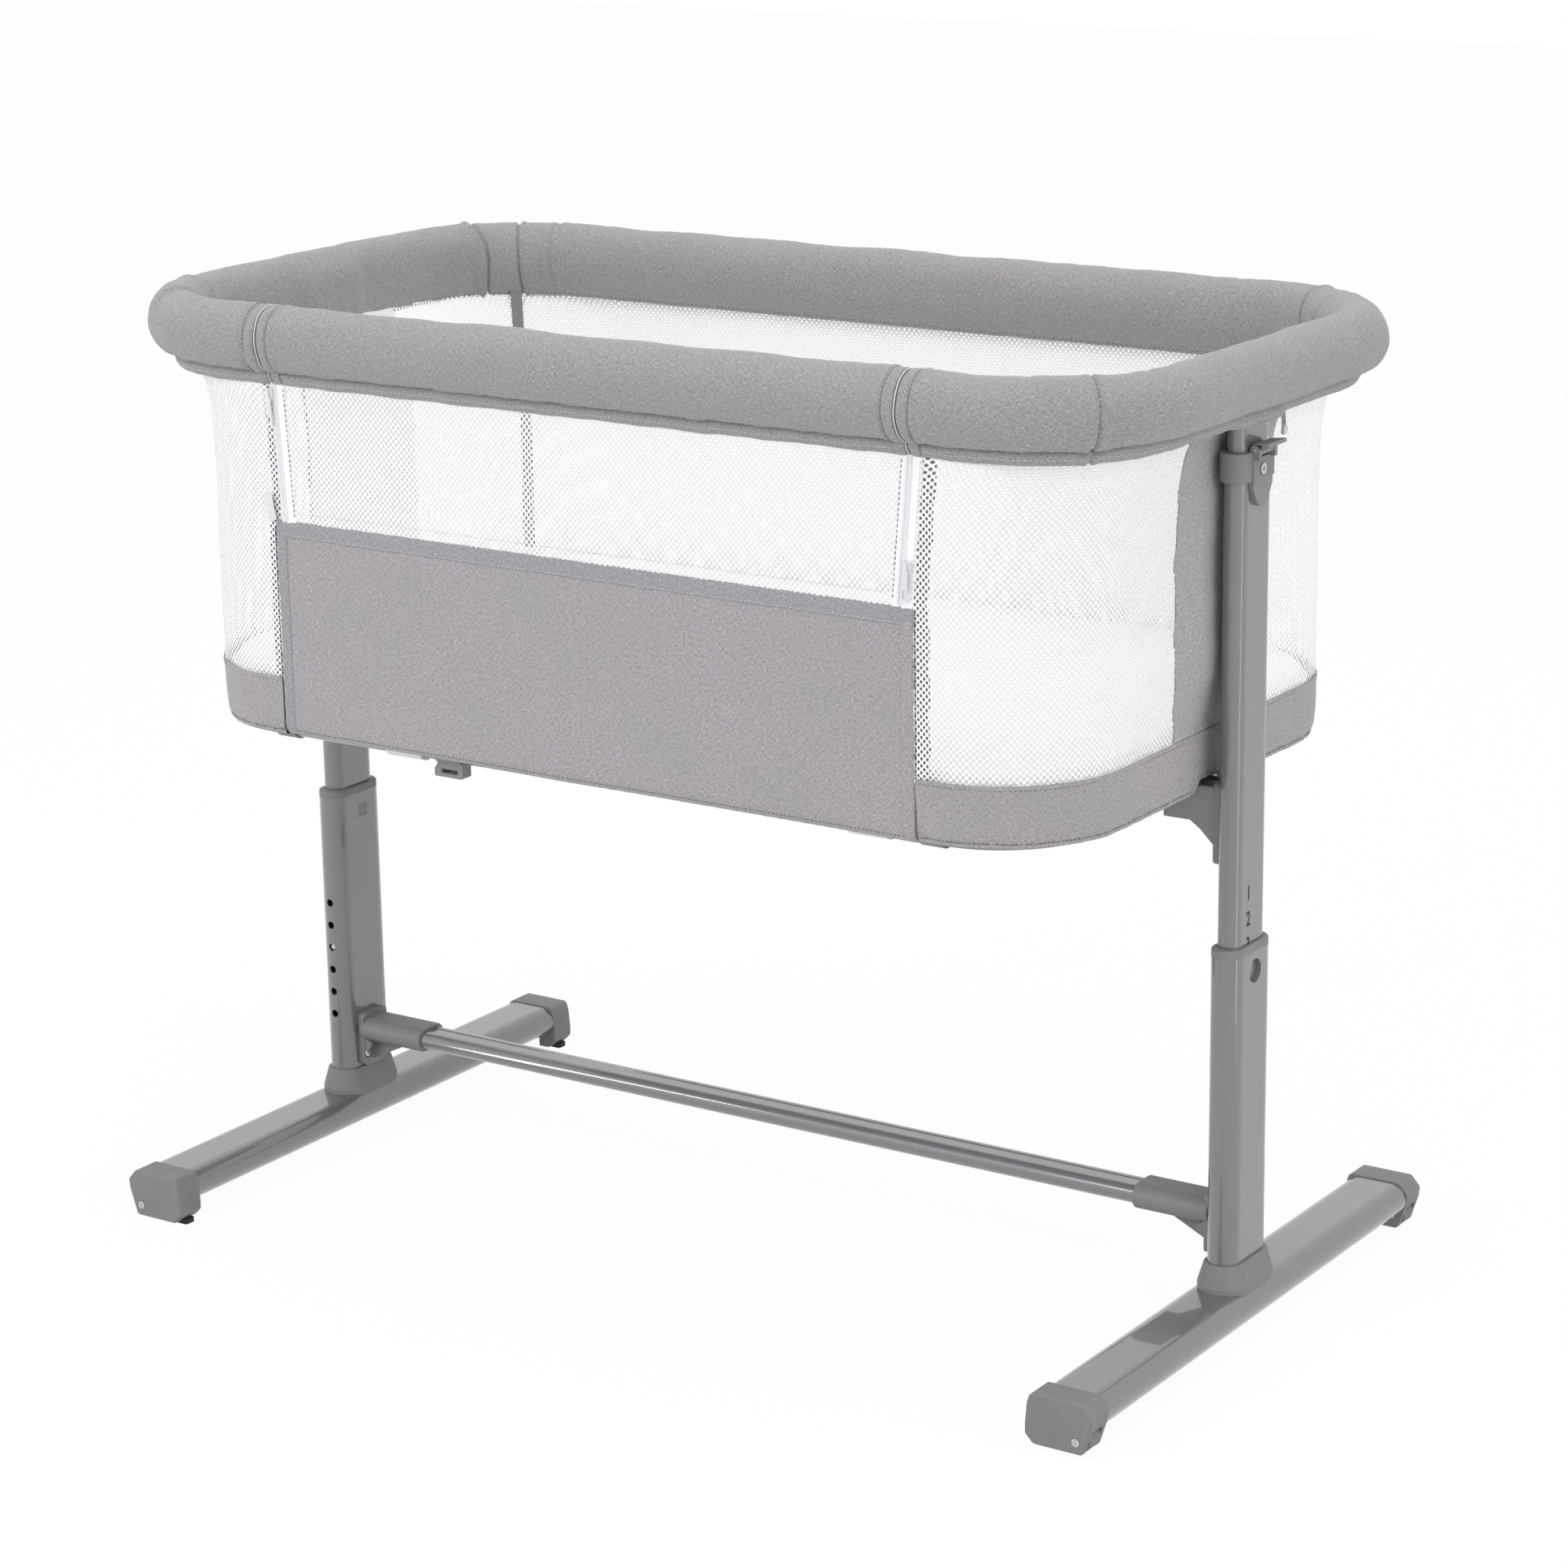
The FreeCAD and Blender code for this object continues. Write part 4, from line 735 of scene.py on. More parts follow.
def strip_shape(t, z):
    """The strips belly out towards the legs that stand close behind them."""
    y = wall(t, z)[0][1]
    across = ease(y, -61, -30) * (1.0 - ease(y, 38, 78))
    belly = across * ease(z, 474, 530) * (1.0 - ease(z, 640, 704))
    folds = 0.3 * math.sin(z / 4.3 + 2 * wobble(t, z, 0, 30)) + 0.7 * belly * math.sin(z / 21.0 + t / 30.0)
    return 9.0 * belly + folds


strips = []
for side, end_t, first_y, last_y in (
        ("right", right_y, STRIP_Y0, STRIP_Y1),
        ("left", left_y, STRIP_Y1, STRIP_Y0)):
    t_low, t_high = end_t(first_y), end_t(last_y)
    strips.append(wall_sheet("leg_strip_" + side, steps(WALL_FOOT, 716.0, 4.0),
                             lambda z: (t_low + strip_edge(z), t_high + strip_edge(z + 31)),
                             STRIP_CLOTH, 0.55, 5.0, strip_shape))
    strips.append(wall_sheet("leg_strip_lining_" + side, steps(WALL_FOOT, 713.0, 8.0),
                             lambda z: (t_low + 2.0, t_high - 2.0),
                             LINING, -0.9, 8.0, strip_shape))
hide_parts("leg_side_strips")


def backing_edge(z, wide, narrow):
    """Outer edge of the dark backing of the netting beside a zip, round the wall: narrow beside
    the panel, wide above it."""
    reach = narrow + (wide - narrow) * ease(z, 590, 604)
    x = zip_x(z) + reach if z > PANEL_TOP else PANEL_X + narrow
    x += 0.6 * math.sin(z / 6.0) + 0.4 * math.sin(z / 2.7)
    corner = along(z, WALL_X_AT) - along(z, WALL_R_AT)
    if x <= FRONT_STILL:
        return x
    return FRONT_STILL + (x - FRONT_STILL) * (FRONT_HALF - FRONT_STILL) / (corner - FRONT_STILL)


backings = []
for name, edges in (
        ("zip_side_backing_right", lambda z: (beside_zip(z) + 1.0, backing_edge(z, 21.5, 12.0))),
        ("zip_side_backing_left",
         lambda z: (T_ROUND - backing_edge(z, 13.0, 8.0), T_ROUND - beside_zip(z) - 1.0))):
    backings.append(wall_sheet(name, steps(472.0, 712.0, 3.0), edges, BACKING, -1.1, 4.0))


# ---- lower band -----------------------------------------------------------
BAND_FOOT = 426.6
BAND_HEAD = 473.0
# the brackets on the legs: half their width, and how far out the wall has to be to meet them
BRACKET_HALF = 18.5
BRACKET_X = 390.0
# the band's section: height and way out, from inside its top, over the seam and down, to the
# tuck under the base tubes
BAND_SECTION = ((466.0, 0.2), (472.5, 0.3), (474.3, 0.55), (474.6, 1.1), (473.6, 1.5), (471.8, 1.35),
                (470.0, 1.15), (466.0, 1.1), (461.0, 1.1), (455.0, 1.1), (449.0, 1.1), (443.0, 1.1),
                (438.0, 1.1), (434.5, 1.1), (432.2, 0.9), (430.9, 0.2), (430.2, -0.2), (429.6, 0.3),
                (428.4, 0.9), (427.2, 0.7), (426.5, -0.4), (426.4, -2.4), (427.2, -5.0), (429.0, -6.5))


def from_bracket(t):
    """Distance along an end of the crib from the middle of its bracket; none at front and back."""
    x, y, _ = wall(t, 430.0)[0]
    return abs(y) if abs(x) > BRACKET_X else math.inf


def band_low(t):
    """Height of the band's lower edge: it hangs a little unevenly and clears the brackets."""
    notch = 1.0 - ease(from_bracket(t), BRACKET_HALF, BRACKET_HALF + 6.0)
    sag = 0.7 * math.sin(t / 47.0) + 0.9 * wobble(t, 3, 0, 24.0) + 0.5 * wobble(t, 6, 0, 9.0)
    return 426.8 + 0.75 * sag + notch * 10.0


def band_point(t, z, out):
    """Point of the band's section at t, with its puckers along the seam at the foot and the
    hem at the head."""
    foot = band_low(t)
    if z < BAND_HEAD:
        z = foot + (z - BAND_FOOT) * (BAND_HEAD - foot) / (BAND_HEAD - BAND_FOOT)
    foot_beat = 0.42 * math.sin(t / 1.55 + 3.0 * wobble(t, 0, 0, 30.0)) + 0.3 * math.sin(t / 3.7)
    out += near(z, foot + 3.6, 3.4) * foot_beat
    out += (0.7 * wobble(t, 9, z, 60.0) + 0.3 * wobble(t, 2, z, 17.0)) * ease(z, 425, 440)
    out += near(z, 472.0, 2.5) * 0.22 * math.sin(t / 1.9)
    return wall(t, z, out)[0]


band_ts = steps(PANEL_X + 0.6, T_ROUND - PANEL_X - 0.6, 2.6)
band = woven("lower_cloth_band",
             [[band_point(t, z, out) for t in band_ts] for z, out in BAND_SECTION],
             [[(t, z - out) for t in band_ts] for z, out in BAND_SECTION],
             PANEL_CLOTH, "basket")
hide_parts("lower_band")


# ---- front panel ----------------------------------------------------------
PANEL_FOOT_AT = ((-293, 429.0), (-250, 428.3), (-189, 428.2), (-94, 427.5), (0, 426.6), (88, 426.8),
                 (174, 426.5), (293, 425.9))
PANEL_HEIGHT = 172.0
HEM = 12.0


def panel_low(x):
    return along(x, PANEL_FOOT_AT)


def panel_high(x):
    return 598.5 - 0.0042 * x


def panel_height(x, share):
    """Height at a share of the way up the panel."""
    return panel_low(x) + (panel_high(x) - panel_low(x)) * share


def panel_share(x, z):
    return (z - panel_low(x)) / (panel_high(x) - panel_low(x))


def panel_skin(x, share, out=0.0):
    """Point on the front panel: share runs 0 at its lower edge to 1 at its top."""
    z = panel_height(x, share)
    edge = PANEL_X - abs(x)
    round_edge = 1.1 * (1.0 - ease(edge, 0.0, 3.0))
    swell = 0.9 * ease(edge, 0, 40) * ease(share, 0.0, 0.2) * (1.0 - ease(share, 0.82, 1.0))
    folds = 0.8 * wobble(x, 0, z, 70.0, 2.0) + 0.28 * wobble(x, 0, z, 22.0, 5.0)
    foot_beat = 0.3 * math.sin(x / 1.7 + 3 * wobble(x, 0, 0, 30.0))
    foot_pucker = math.exp(-(z - panel_low(x)) / 4.0) * foot_beat
    side_pucker = past(edge, 1.5, 5.0) * 0.25 * math.sin(z / 2.1)
    tuck = 3.2 * (1.0 - ease(z, 426, 436)) ** 1.5
    forward = out + swell + folds * ease(edge, 0, 25) + foot_pucker + side_pucker
    return (x, WALL_FRONT - 0.35 - forward + round_edge + tuck, z)


# the panel's section: over its top from behind, down the front, and in under its lower edge; for
# each row how far back it lies, and its share of the way up on the skin and in height
PANEL_TURN_OVER = ((7.0, 0.965), (4.6, 0.992), (2.4, 1.003), (0.7, 1.004))
PANEL_FACE = steps(1.0, 0.06, 0.02) + [0.045, 0.03, 0.018, 0.008, 0.0]
PANEL_TURN_IN = ((5.0, -0.008), (8.5, 0.0), (11.0, 0.015))
PANEL_SECTION = ([(back, 1.0, share) for back, share in PANEL_TURN_OVER]
                 + [(0.0, share, share) for share in PANEL_FACE]
                 + [(back, 0.0, share) for back, share in PANEL_TURN_IN])
panel_xs = steps(-PANEL_X, PANEL_X, 3.6)
rows = []
places = []
for back, skin_share, share in PANEL_SECTION:
    cloth_y = 427.0 + PANEL_HEIGHT * share + (back if share > 0.5 else -back)
    rows.append([(x, panel_skin(x, skin_share)[1] + back, panel_height(x, share)) for x in panel_xs])
    places.append([(x, cloth_y) for x in panel_xs])
panel = woven("front_cloth_panel", rows, places, PANEL_CLOTH, "basket")
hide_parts("front_panel")

# the folded allowance along the panel's top: how far down and how far out
TOP_HEM = ((-0.9, -2.4), (-1.1, -0.8), (-0.5, 0.55), (0.8, 1.05), (3.5, 0.95), (7.0, 0.95),
           (10.4, 0.95), (11.4, 0.8), (HEM, 0.35), (HEM + 0.15, -0.4))
rows = []
places = []
for drop, out in TOP_HEM:
    row = []
    for x in panel_xs:
        ripple = 0.22 * math.sin(x / 2.3 + 2.0 * wobble(x, 0, 0, 25.0)) * near(drop, 10.6, 2.2)
        edge_wave = 0.35 * math.sin(x / 19.0) + 0.3 * wobble(x, 4, 0, 12.0)
        z = panel_high(x) - drop - (edge_wave if drop > 9 else 0.0)
        y = panel_skin(x, min(1.0, panel_share(x, z)), out + ripple)[1]
        row.append((x, y, z))
    rows.append(row)
    places.append([(x, 900.0 - drop) for x in panel_xs])
hem_pieces = [woven("panel_top_hem", rows, places, HEM_CLOTH, "basket")]

# and along both its ends: how far in and how far out
END_HEM = ((0.05, -0.6), (0.25, 0.6), (1.2, 0.95), (4.0, 0.9), (8.0, 0.85), (10.2, 0.75),
           (10.9, 0.3), (11.05, -0.3))
END_HEM_SHARES = steps(0.02, 0.998, 0.02)
for name, side, cloth in (("panel_end_hem_left", -1, HEM_CLOTH), ("panel_end_hem_right", 1, PANEL_CLOTH)):
    rows = []
    places = []
    for inset, out in END_HEM:
        row = []
        for share in END_HEM_SHARES:
            wave = 0.4 * wobble(share * PANEL_HEIGHT, 8, 0, 14.0)
            x = side * (PANEL_X + 0.3 - inset - (wave if inset > 9 else 0.0))
            y, z = panel_skin(max(-PANEL_X, min(PANEL_X, x)), share, out)[1:]
            row.append((x, y, z))
        rows.append(row)
        places.append([(inset, PANEL_HEIGHT * share + 40 * side) for share in END_HEM_SHARES])
    hem_pieces.append(woven(name, rows, places, cloth, "basket"))

# ---- stitching of the panel and the band ----------------------------------
TO_FRONT = (0.0, -1.0, 0.0)


def top_hem_stitch(x):
    z = panel_high(x) - HEM + 1.6
    return ((x, panel_skin(x, panel_share(x, z), 1.0)[1], z), TO_FRONT)


def edge_seam(side):
    """The seam that joins an end of the panel to the wall."""
    run = []
    for z in steps(427.5, 597.5, 3.0):
        y = WALL_FRONT - 0.2 + 2.5 * (1.0 - ease(z, 426, 434))
        run.append(((side * 292.7, y, z), (0.35 * side, -0.9, 0)))
    return run


def sewn_below(name, runs, thread, length, gap, radius):
    return stitches(name, runs, thread, "basket", length, gap, radius)


panel_seams = [
    sewn_below("panel_top_stitching", [[top_hem_stitch(x) for x in panel_xs]], PALE_THREAD, 2.3, 1.3, 0.22),
    sewn_below("panel_bottom_stitching", [[(panel_skin(x, 0.02, 0.05), TO_FRONT) for x in panel_xs]],
               DARK_THREAD, 2.2, 1.2, 0.26),
    sewn_below("panel_edge_seams", [edge_seam(-1), edge_seam(1)], DARK_THREAD, 2.6, 0.25, 0.5)]

# the seam at the band's foot stops at the brackets
seam_ts = steps(PANEL_X + 2, T_ROUND - PANEL_X - 2, 4.0)
foot_runs = [[]]
last_t = seam_ts[0]
for t in seam_ts:
    if from_bracket(t) < BRACKET_HALF + 8.5:
        continue
    if t - last_t > 6.0:
        foot_runs.append([])
    foot_runs[-1].append(wall(t, band_low(t) + 3.6, 0.1))
    last_t = t
band_seams = [
    sewn_below("band_bottom_stitching", foot_runs, DARK_THREAD, 2.2, 1.2, 0.3),
    stitches("band_top_stitching", [[wall(t, 476.2, 0.3) for t in seam_ts]],
             PALE_THREAD, "basket", 2.3, 1.3, 0.28),
    sewn_below("band_hem_stitching", [[wall(t, 471.2, 1.3) for t in seam_ts]], DARK_THREAD, 2.0, 1.6, 0.2)]


# ---- rim covers -----------------------------------------------------------
# straight stretches of the rim tube, and where the right end, the back, the left end and the
# front's left half start on the way round its middle line
RIM_QUARTER = RIM_R * math.pi / 2
RIM_HALF = RIM_X - RIM_R
RIM_FRONT_BEND = RIM_FRONT + RIM_R
RIM_BACK_BEND = RIM_BACK - RIM_R
RIM_END = RIM_BACK_BEND - RIM_FRONT_BEND
S_RIGHT = RIM_HALF + RIM_QUARTER
S_BACK = S_RIGHT + RIM_END + RIM_QUARTER
S_BACK_LEFT = S_BACK + 2 * RIM_HALF
S_LEFT = S_BACK_LEFT + RIM_QUARTER
S_FRONT = S_LEFT + RIM_END + RIM_QUARTER
S_ROUND = S_FRONT + RIM_HALF


def rim_line(s):
    """Point of the rim tube's middle line, s millimetres round from the middle of the front, and
    the way out."""
    s = s % S_ROUND

    def turn(start):
        return math.sin((s - start) / RIM_R), math.cos((s - start) / RIM_R)

    if s < RIM_HALF:
        return s, RIM_FRONT, 0.0, -1.0
    if s < S_RIGHT:
        a, b = turn(RIM_HALF)
        return RIM_HALF + RIM_R * a, RIM_FRONT_BEND - RIM_R * b, a, -b
    if s < S_RIGHT + RIM_END:
        return RIM_X, RIM_FRONT_BEND + s - S_RIGHT, 1.0, 0.0
    if s < S_BACK:
        a, b = turn(S_RIGHT + RIM_END)
        return RIM_HALF + RIM_R * b, RIM_BACK_BEND + RIM_R * a, b, a
    if s < S_BACK_LEFT:
        return RIM_HALF - (s - S_BACK), RIM_BACK, 0.0, 1.0
    if s < S_LEFT:
        a, b = turn(S_BACK_LEFT)
        return -RIM_HALF - RIM_R * a, RIM_BACK_BEND + RIM_R * b, -a, b
    if s < S_LEFT + RIM_END:
        return -RIM_X, RIM_BACK_BEND - (s - S_LEFT), -1.0, 0.0
    if s < S_FRONT:
        a, b = turn(S_LEFT + RIM_END)
        return -RIM_HALF - RIM_R * b, RIM_FRONT_BEND - RIM_R * a, -b, -a
    return s - S_ROUND, RIM_FRONT, 0.0, -1.0


# the cover's section: way out, height, shift at front and back, shift at the posts, both outwards
COVER = (
    (-3.4, 717.6, 8.9, 4.0), (0.2, 717.6, 8.2, 3.6), (7.0, 719.2, 5.8, 2.5), (14.0, 722.0, 2.4, 1.0),
    (19.5, 727.0, 0.6, 0.3), (23.0, 734.0, 0.0, 0.0), (24.2, 742.0, 0.0, 0.0), (22.6, 751.5, 0.0, 0.0),
    (19.0, 758.5, 0.0, 0.0), (13.5, 764.0, 0.0, 0.0), (6.5, 767.6, 0.0, 0.0), (-1.0, 768.2, 0.0, 0.0),
    (-8.0, 766.2, 0.0, 0.0), (-13.8, 762.0, 0.0, -1.5), (-18.2, 755.5, 0.0, -3.5),
    (-20.6, 747.0, 0.0, -4.5), (-20.8, 737.5, 0.2, -4.8), (-19.9, 728.0, 1.0, -5.0),
    (-19.2, 719.5, 5.0, -5.2), (-19.4, 712.5, 10.0, -5.2), (-18.8, 708.0, 12.0, -5.0),
    (-16.5, 706.4, 12.0, -3.0), (-11.0, 706.2, 9.5, 1.0), (-6.4, 706.6, 8.5, 4.0),
    (-4.4, 708.2, 8.7, 4.3), (-3.2, 711.2, 9.2, 4.5), (-2.6, 714.6, 9.6, 4.2))
COVER_COUNT = len(COVER)
# stitching lines of the section, as numbers of its points
U_CREASE = 0.05
U_INNER = 19.6
U_HEM = 25.0
RIM_MIDDLE = 741.0
# how far the zip's binding fills out the fold above the hem, by point of the section
BINDING_LIFT = {0: 3.2, 1: 2.6, 25: 0.8, 26: 1.6}
# the zips cross the rim here, on both sides of the front's middle; their seams run beside them
ZIP_AT = 289.0
SEAM_IN = 278.0
SEAM_OUT = 300.0

# the sewn joins of the cover at its corners: place, slant, and hook towards the top
FRONT_RIGHT_JOIN = (422.0, 0.03, 0.0)
BACK_RIGHT_JOIN = (S_BACK - 42.5, 0.0, 5.0)
BACK_LEFT_JOIN = (1648.5, 0.04, 0.0)
CORNER_JOIN = (1681.0, 0.02, 10.0)
FRONT_LEFT_JOIN = (2052.0, -0.65, 0.0)
# joins, creases and seams across the cover: where, depth, half width, first and last point of
# the section, and how far and to which side it has a raised lip
COVER_SEAMS = (
    (FRONT_RIGHT_JOIN, 1.6, 1.4, 0.0, 27.0, 0.0),
    (BACK_RIGHT_JOIN, 2.2, 1.4, 0.0, 27.0, -1.0),
    ((S_BACK - 62.0, -0.3, 0.0), 0.8, 3.0, 8.0, 20.0, 0.0),
    ((S_BACK + 30.0, 0.2, 0.0), 0.6, 3.2, 8.0, 20.0, 0.0),
    ((1613.5, 0.03, 0.0), 1.3, 2.2, 8.0, 20.0, 0.0),
    ((1622.5, -0.15, 0.0), 0.8, 2.2, 14.0, 20.0, 0.0),
    (BACK_LEFT_JOIN, 2.3, 1.4, 0.0, 27.0, -0.4),
    (CORNER_JOIN, 2.4, 1.8, 0.0, 27.0, 1.0),
    ((1697.0, 0.25, 0.0), 1.0, 2.6, 12.0, 20.0, 0.0),
    (FRONT_LEFT_JOIN, 2.6, 1.7, 9.0, 27.0, 1.0),
    ((2012.0, -0.4, 0.0), 0.7, 3.0, 12.0, 20.0, 0.0),
    ((S_FRONT - 92.0, 0.3, 0.0), 2.6, 2.2, 7.0, 14.5, 0.6),
    ((S_FRONT - 66.0, -0.25, 0.0), 2.2, 2.0, 7.0, 13.5, 0.0),
    ((S_FRONT - 30.0, 0.4, 0.0), 0.8, 3.2, 5.0, 13.0, 0.0),
    ((S_ROUND - 301.0, 0.05, 0.0), 1.2, 2.8, 1.0, 20.0, 0.0),
    ((455.0, 0.5, 0.0), 0.8, 3.4, 8.0, 13.0, 0.0),
    ((386.0, -0.3, 0.0), 0.5, 3.4, 8.0, 15.0, 0.0),
    ((SEAM_IN, 0.0, 0.0), 1.1, 1.0, 0.0, 21.0, -0.7),
    ((SEAM_OUT, 0.0, 0.0), 1.1, 1.0, 0.0, 21.0, 0.7),
    ((S_ROUND - SEAM_IN, 0.0, 0.0), 1.1, 1.0, 0.0, 21.0, 0.7),
    ((-SEAM_IN, 0.0, 0.0), 1.1, 1.0, 0.0, 21.0, 0.7))


def zip_binding(s):
    """1 on the flat bindings of the zip round the rim, 0 away from them."""
    d = abs(s % S_ROUND)
    d = abs(min(d, S_ROUND - d) - ZIP_AT)
    return 1.0 - ease(d, 10.0, 12.2)


def between(a, b, c, d, w):
    """A smooth curve through four even values, w of the way from b to c."""
    return 0.5 * (2 * b + (c - a) * w + (2 * a - 5 * b + 4 * c - d) * w * w
                  + (3 * b - a - 3 * c + d) * w ** 3)


def rim_noise(x, y=0.0, z=0.0):
    return noise.noise(Vector((x, y, z)))


def cover_section(s, u):
    """Way out and height of the cover at u of its section, before wrinkles."""
    whole = math.floor(u)
    x, y, nx, ny = rim_line(s)
    front = ease(abs(ny), 0.05, 0.95)
    post = 1.0 - ease(abs(y), 26.0, 47.0) if abs(nx) > 0.9 else 0.0
    binding = zip_binding(s)
    outs = []
    heights = []
    for i in (-1, 0, 1, 2):
        point = (whole + i) % COVER_COUNT
        out, z, shift, at_post = COVER[point]
        push = shift * front + at_post * post
        # behind, the hem hangs outside the mesh wall
        if ny > 0.0 and out > -12.0:
            push += 4.6 * ease(shift, 2.0, 8.5) * front
        push += BINDING_LIFT.get(point, 0.0) * binding
        drop = -1.6 * post if z < 712 else 0.0
        if z < 719 and out > -8.0:
            wave = 1.3 * rim_noise(s / 31.0, 8.0) + 0.6 * rim_noise(s / 10.0, 2.0)
            drop += wave * (1.0 if z > 713 else 0.5)
            drop += 0.0 if z > 709 else 0.9 * rim_noise(s / 45.0, 5.0)
        outs.append(out + push)
        heights.append(z + drop)
    w = u - whole
    return between(*outs, w), between(*heights, w)


def seam_lean(slant, hook, z):
    """How far a seam has moved along the cover at a height: by its slant, and by the hook that
    it makes towards the top."""
    return slant * (z - RIM_MIDDLE), hook * max(0.0, (z - RIM_MIDDLE) / 27.0) ** 2


def seam_lump(s, u, z):
    """How far the seams and creases across the cover press it in or raise it."""
    u = u % COVER_COUNT
    lump = 0.0
    for (place, slant, hook), depth, half, first, last, lip in COVER_SEAMS:
        lean, over = seam_lean(slant, hook, z)
        off = s - place - lean - over
        if abs(off) >= half * 9 or not first <= u <= last:
            continue
        fade = 1.0
        if first > 0 or last < COVER_COUNT:
            fade = min(1.0, (u - first + 0.3) / 1.5, (last + 0.3 - u) / 1.5)
        raised = 0.42
        if lip != 0.0:
            raised = 0.3 + (0.55 * abs(lip) if off * lip > 0 else -0.2)
        shoulder = raised * dip(abs(off) - half * 2.6, half * 1.7)
        lump += max(0.0, fade) * depth * (shoulder - dip(off, half))
    return lump


def cover(s, u, extra=0.0):
    """Point on the rim's cloth cover and the way out of it there."""
    x, y, nx, ny = rim_line(s)
    out, z = cover_section(s, u)
    out_after, z_after = cover_section(s, u + 0.35)
    out_before, z_before = cover_section(s, u - 0.35)
    way = Vector((z_after - z_before, out_before - out_after)).normalized()
    if way.length < 0.5:
        way = Vector((1.0, 0.0))
    if way.dot(Vector((out - 1.0, z - 738.0))) < 0:
        way = -way
    angle = u / COVER_COUNT * 6.28
    up_part = ease(z, 716.0, 724.0)
    fat = 1.5 * rim_noise(s / 62.0, math.cos(angle) * 1.3, math.sin(angle) * 1.3)
    fine = 0.6 * rim_noise(s / 19.0, math.cos(angle) * 2.6, 4.0 + math.sin(angle) * 2.6)
    fold = rim_noise(s / 13.0 + math.sin(angle) * 1.6, math.cos(angle) * 0.9, 9.0)
    fine += 0.85 * max(0.0, rim_noise(s / 120.0, 3.0, 21.0) + 0.12) * (1.0 - 2.0 * abs(fold))
    beat = 0.33 * math.sin(s / 1.45 + 4.0 * rim_noise(s / 22.0)) + 0.5 * math.sin(s / 4.6 + 2.0)
    crease = (1.0 - zip_binding(s)) * near(z, 717.5, 5.5) * beat
    lump = up_part * (fat + fine) + crease * (0.35 + 0.65 * up_part)
    lump += (1.0 - up_part) * 0.3 * rim_noise(s / 14.0, 3.0, z / 9.0)
    lump += seam_lump(s, u, z) + extra
    out += way.x * lump
    z += way.y * lump
    return (x + nx * out, y + ny * out, z), (nx * way.x, ny * way.x, way.y)


def cover_places(first, last):
    """Places along a cover: even rows, and close ones beside its ends and seams."""
    close = 0.8
    marks = set(round(v, 2) for v in steps(first, last, 3.2))
    for away in (0.5, 1.1, 1.9, 2.8):
        marks.add(round(first + away, 2))
        marks.add(round(last - away, 2))
    for (place, slant, hook), _, half, _, _, _ in COVER_SEAMS:
        if first < place < last:
            reach = half * 4 + abs(slant) * 30 + hook
            beside = steps(max(first, place - reach), min(last, place + reach), close)
            marks.update(round(v, 2) for v in beside)
    return sorted(marks)


def rim_cover(name, first, last, body, first_closed=True, last_closed=True):
    """One stretch of the padded cover; its closed ends are rounded."""
    us = [k + w for k in range(COVER_COUNT) for w in (0.0, 0.5)]
    girth = [0.0]
    for a, b in zip(us, us[1:] + [COVER_COUNT]):
        p, q = cover_section(0.0, a), cover_section(0.0, b)
        girth.append(girth[-1] + math.hypot(p[0] - q[0], p[1] - q[1]))
    rows = []
    places = []
    for s in cover_places(first, last):
        end = 0.0
        if first_closed:
            end -= 1.5 * max(0.0, 1.0 - (s - first) / 2.4) ** 2
        if last_closed:
            end -= 1.5 * max(0.0, 1.0 - (last - s) / 2.4) ** 2
        rows.append([cover(s, u, end)[0] for u in us])
        places.append([(s, v) for v in girth])
    piece = woven(name, rows, places, RIM_CLOTH, body, ring=True)
    return piece


FIXED_END = 290.2
DROP_END = 287.8
right_cover = rim_cover("rim_cover_right", FIXED_END, S_BACK, "basket", last_closed=False)
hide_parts("rim_pad_right")
back_cover = rim_cover("rim_cover_back", S_BACK, S_BACK_LEFT, "basket", False, False)
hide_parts("rim_pad_back")
left_cover = rim_cover("rim_cover_left", S_BACK_LEFT, S_ROUND - FIXED_END, "basket", first_closed=False)
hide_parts("rim_pad_left")
drop_cover = rim_cover("drop_rail_cover", -DROP_END, DROP_END, "drop_side")
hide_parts("drop_rail_pad")

# ---- the zips round the rim, and the covers' stitching ---------------------
RING_US = [-3.4 + k * 0.5 for k in range(51)]
RING_SECTION = ((-1.1, -2.4), (-1.0, -1.6), (1.25, -1.6), (1.35, -2.4))
COIL_RADIUS = 0.55
for name, side in (("right", 1), ("left", -1)):
    # the zip's tape, set deep in the gap between the covers and drawn in the dark binding cloth as painted
    # shade of the groove
    rows = [[cover(side * (ZIP_AT + step), u, lift)[0] for u in RING_US] for step, lift in RING_SECTION]
    places = [[(3.0 * u, step) for u in RING_US] for step, lift in RING_SECTION]
    woven("rim_zip_tape_and_shade_" + name, rows, places, BACKING, "basket")
    rows = []
    places = []
    for k in range(9):
        angle = math.tau * (k % 8) / 8
        s = side * (ZIP_AT - 0.05 + COIL_RADIUS * math.cos(angle))
        lift = -0.75 + COIL_RADIUS * math.sin(angle)
        rows.append([cover(s, u, lift)[0] for u in RING_US])
        places.append([(3.0 * u, k * 0.4) for u in RING_US])
    woven("rim_zip_coil_" + name, rows, places, COIL_GREY, "basket")


def zip_seams(at):
    """Runs over the rim beside both zips."""
    return [[cover(side * at, u, 0.0) for u in steps(-3.0, 20.0, 0.4)] for side in (1, -1)]


def round_cover(u, lift, first, last):
    """A run along the cover at one line of its section."""
    return [[cover(s, u, lift) for s in steps(first, last, 3.6)]]


def join_run(join, first, last, lift=-0.25):
    """A run over the cover along one of its joins."""
    place, slant, hook = join
    run = []
    for u in steps(first, last, 0.35):
        lean, over = seam_lean(slant, hook, cover_section(place, u)[1])
        run.append(cover(place + lean + over, u, lift))
    return run


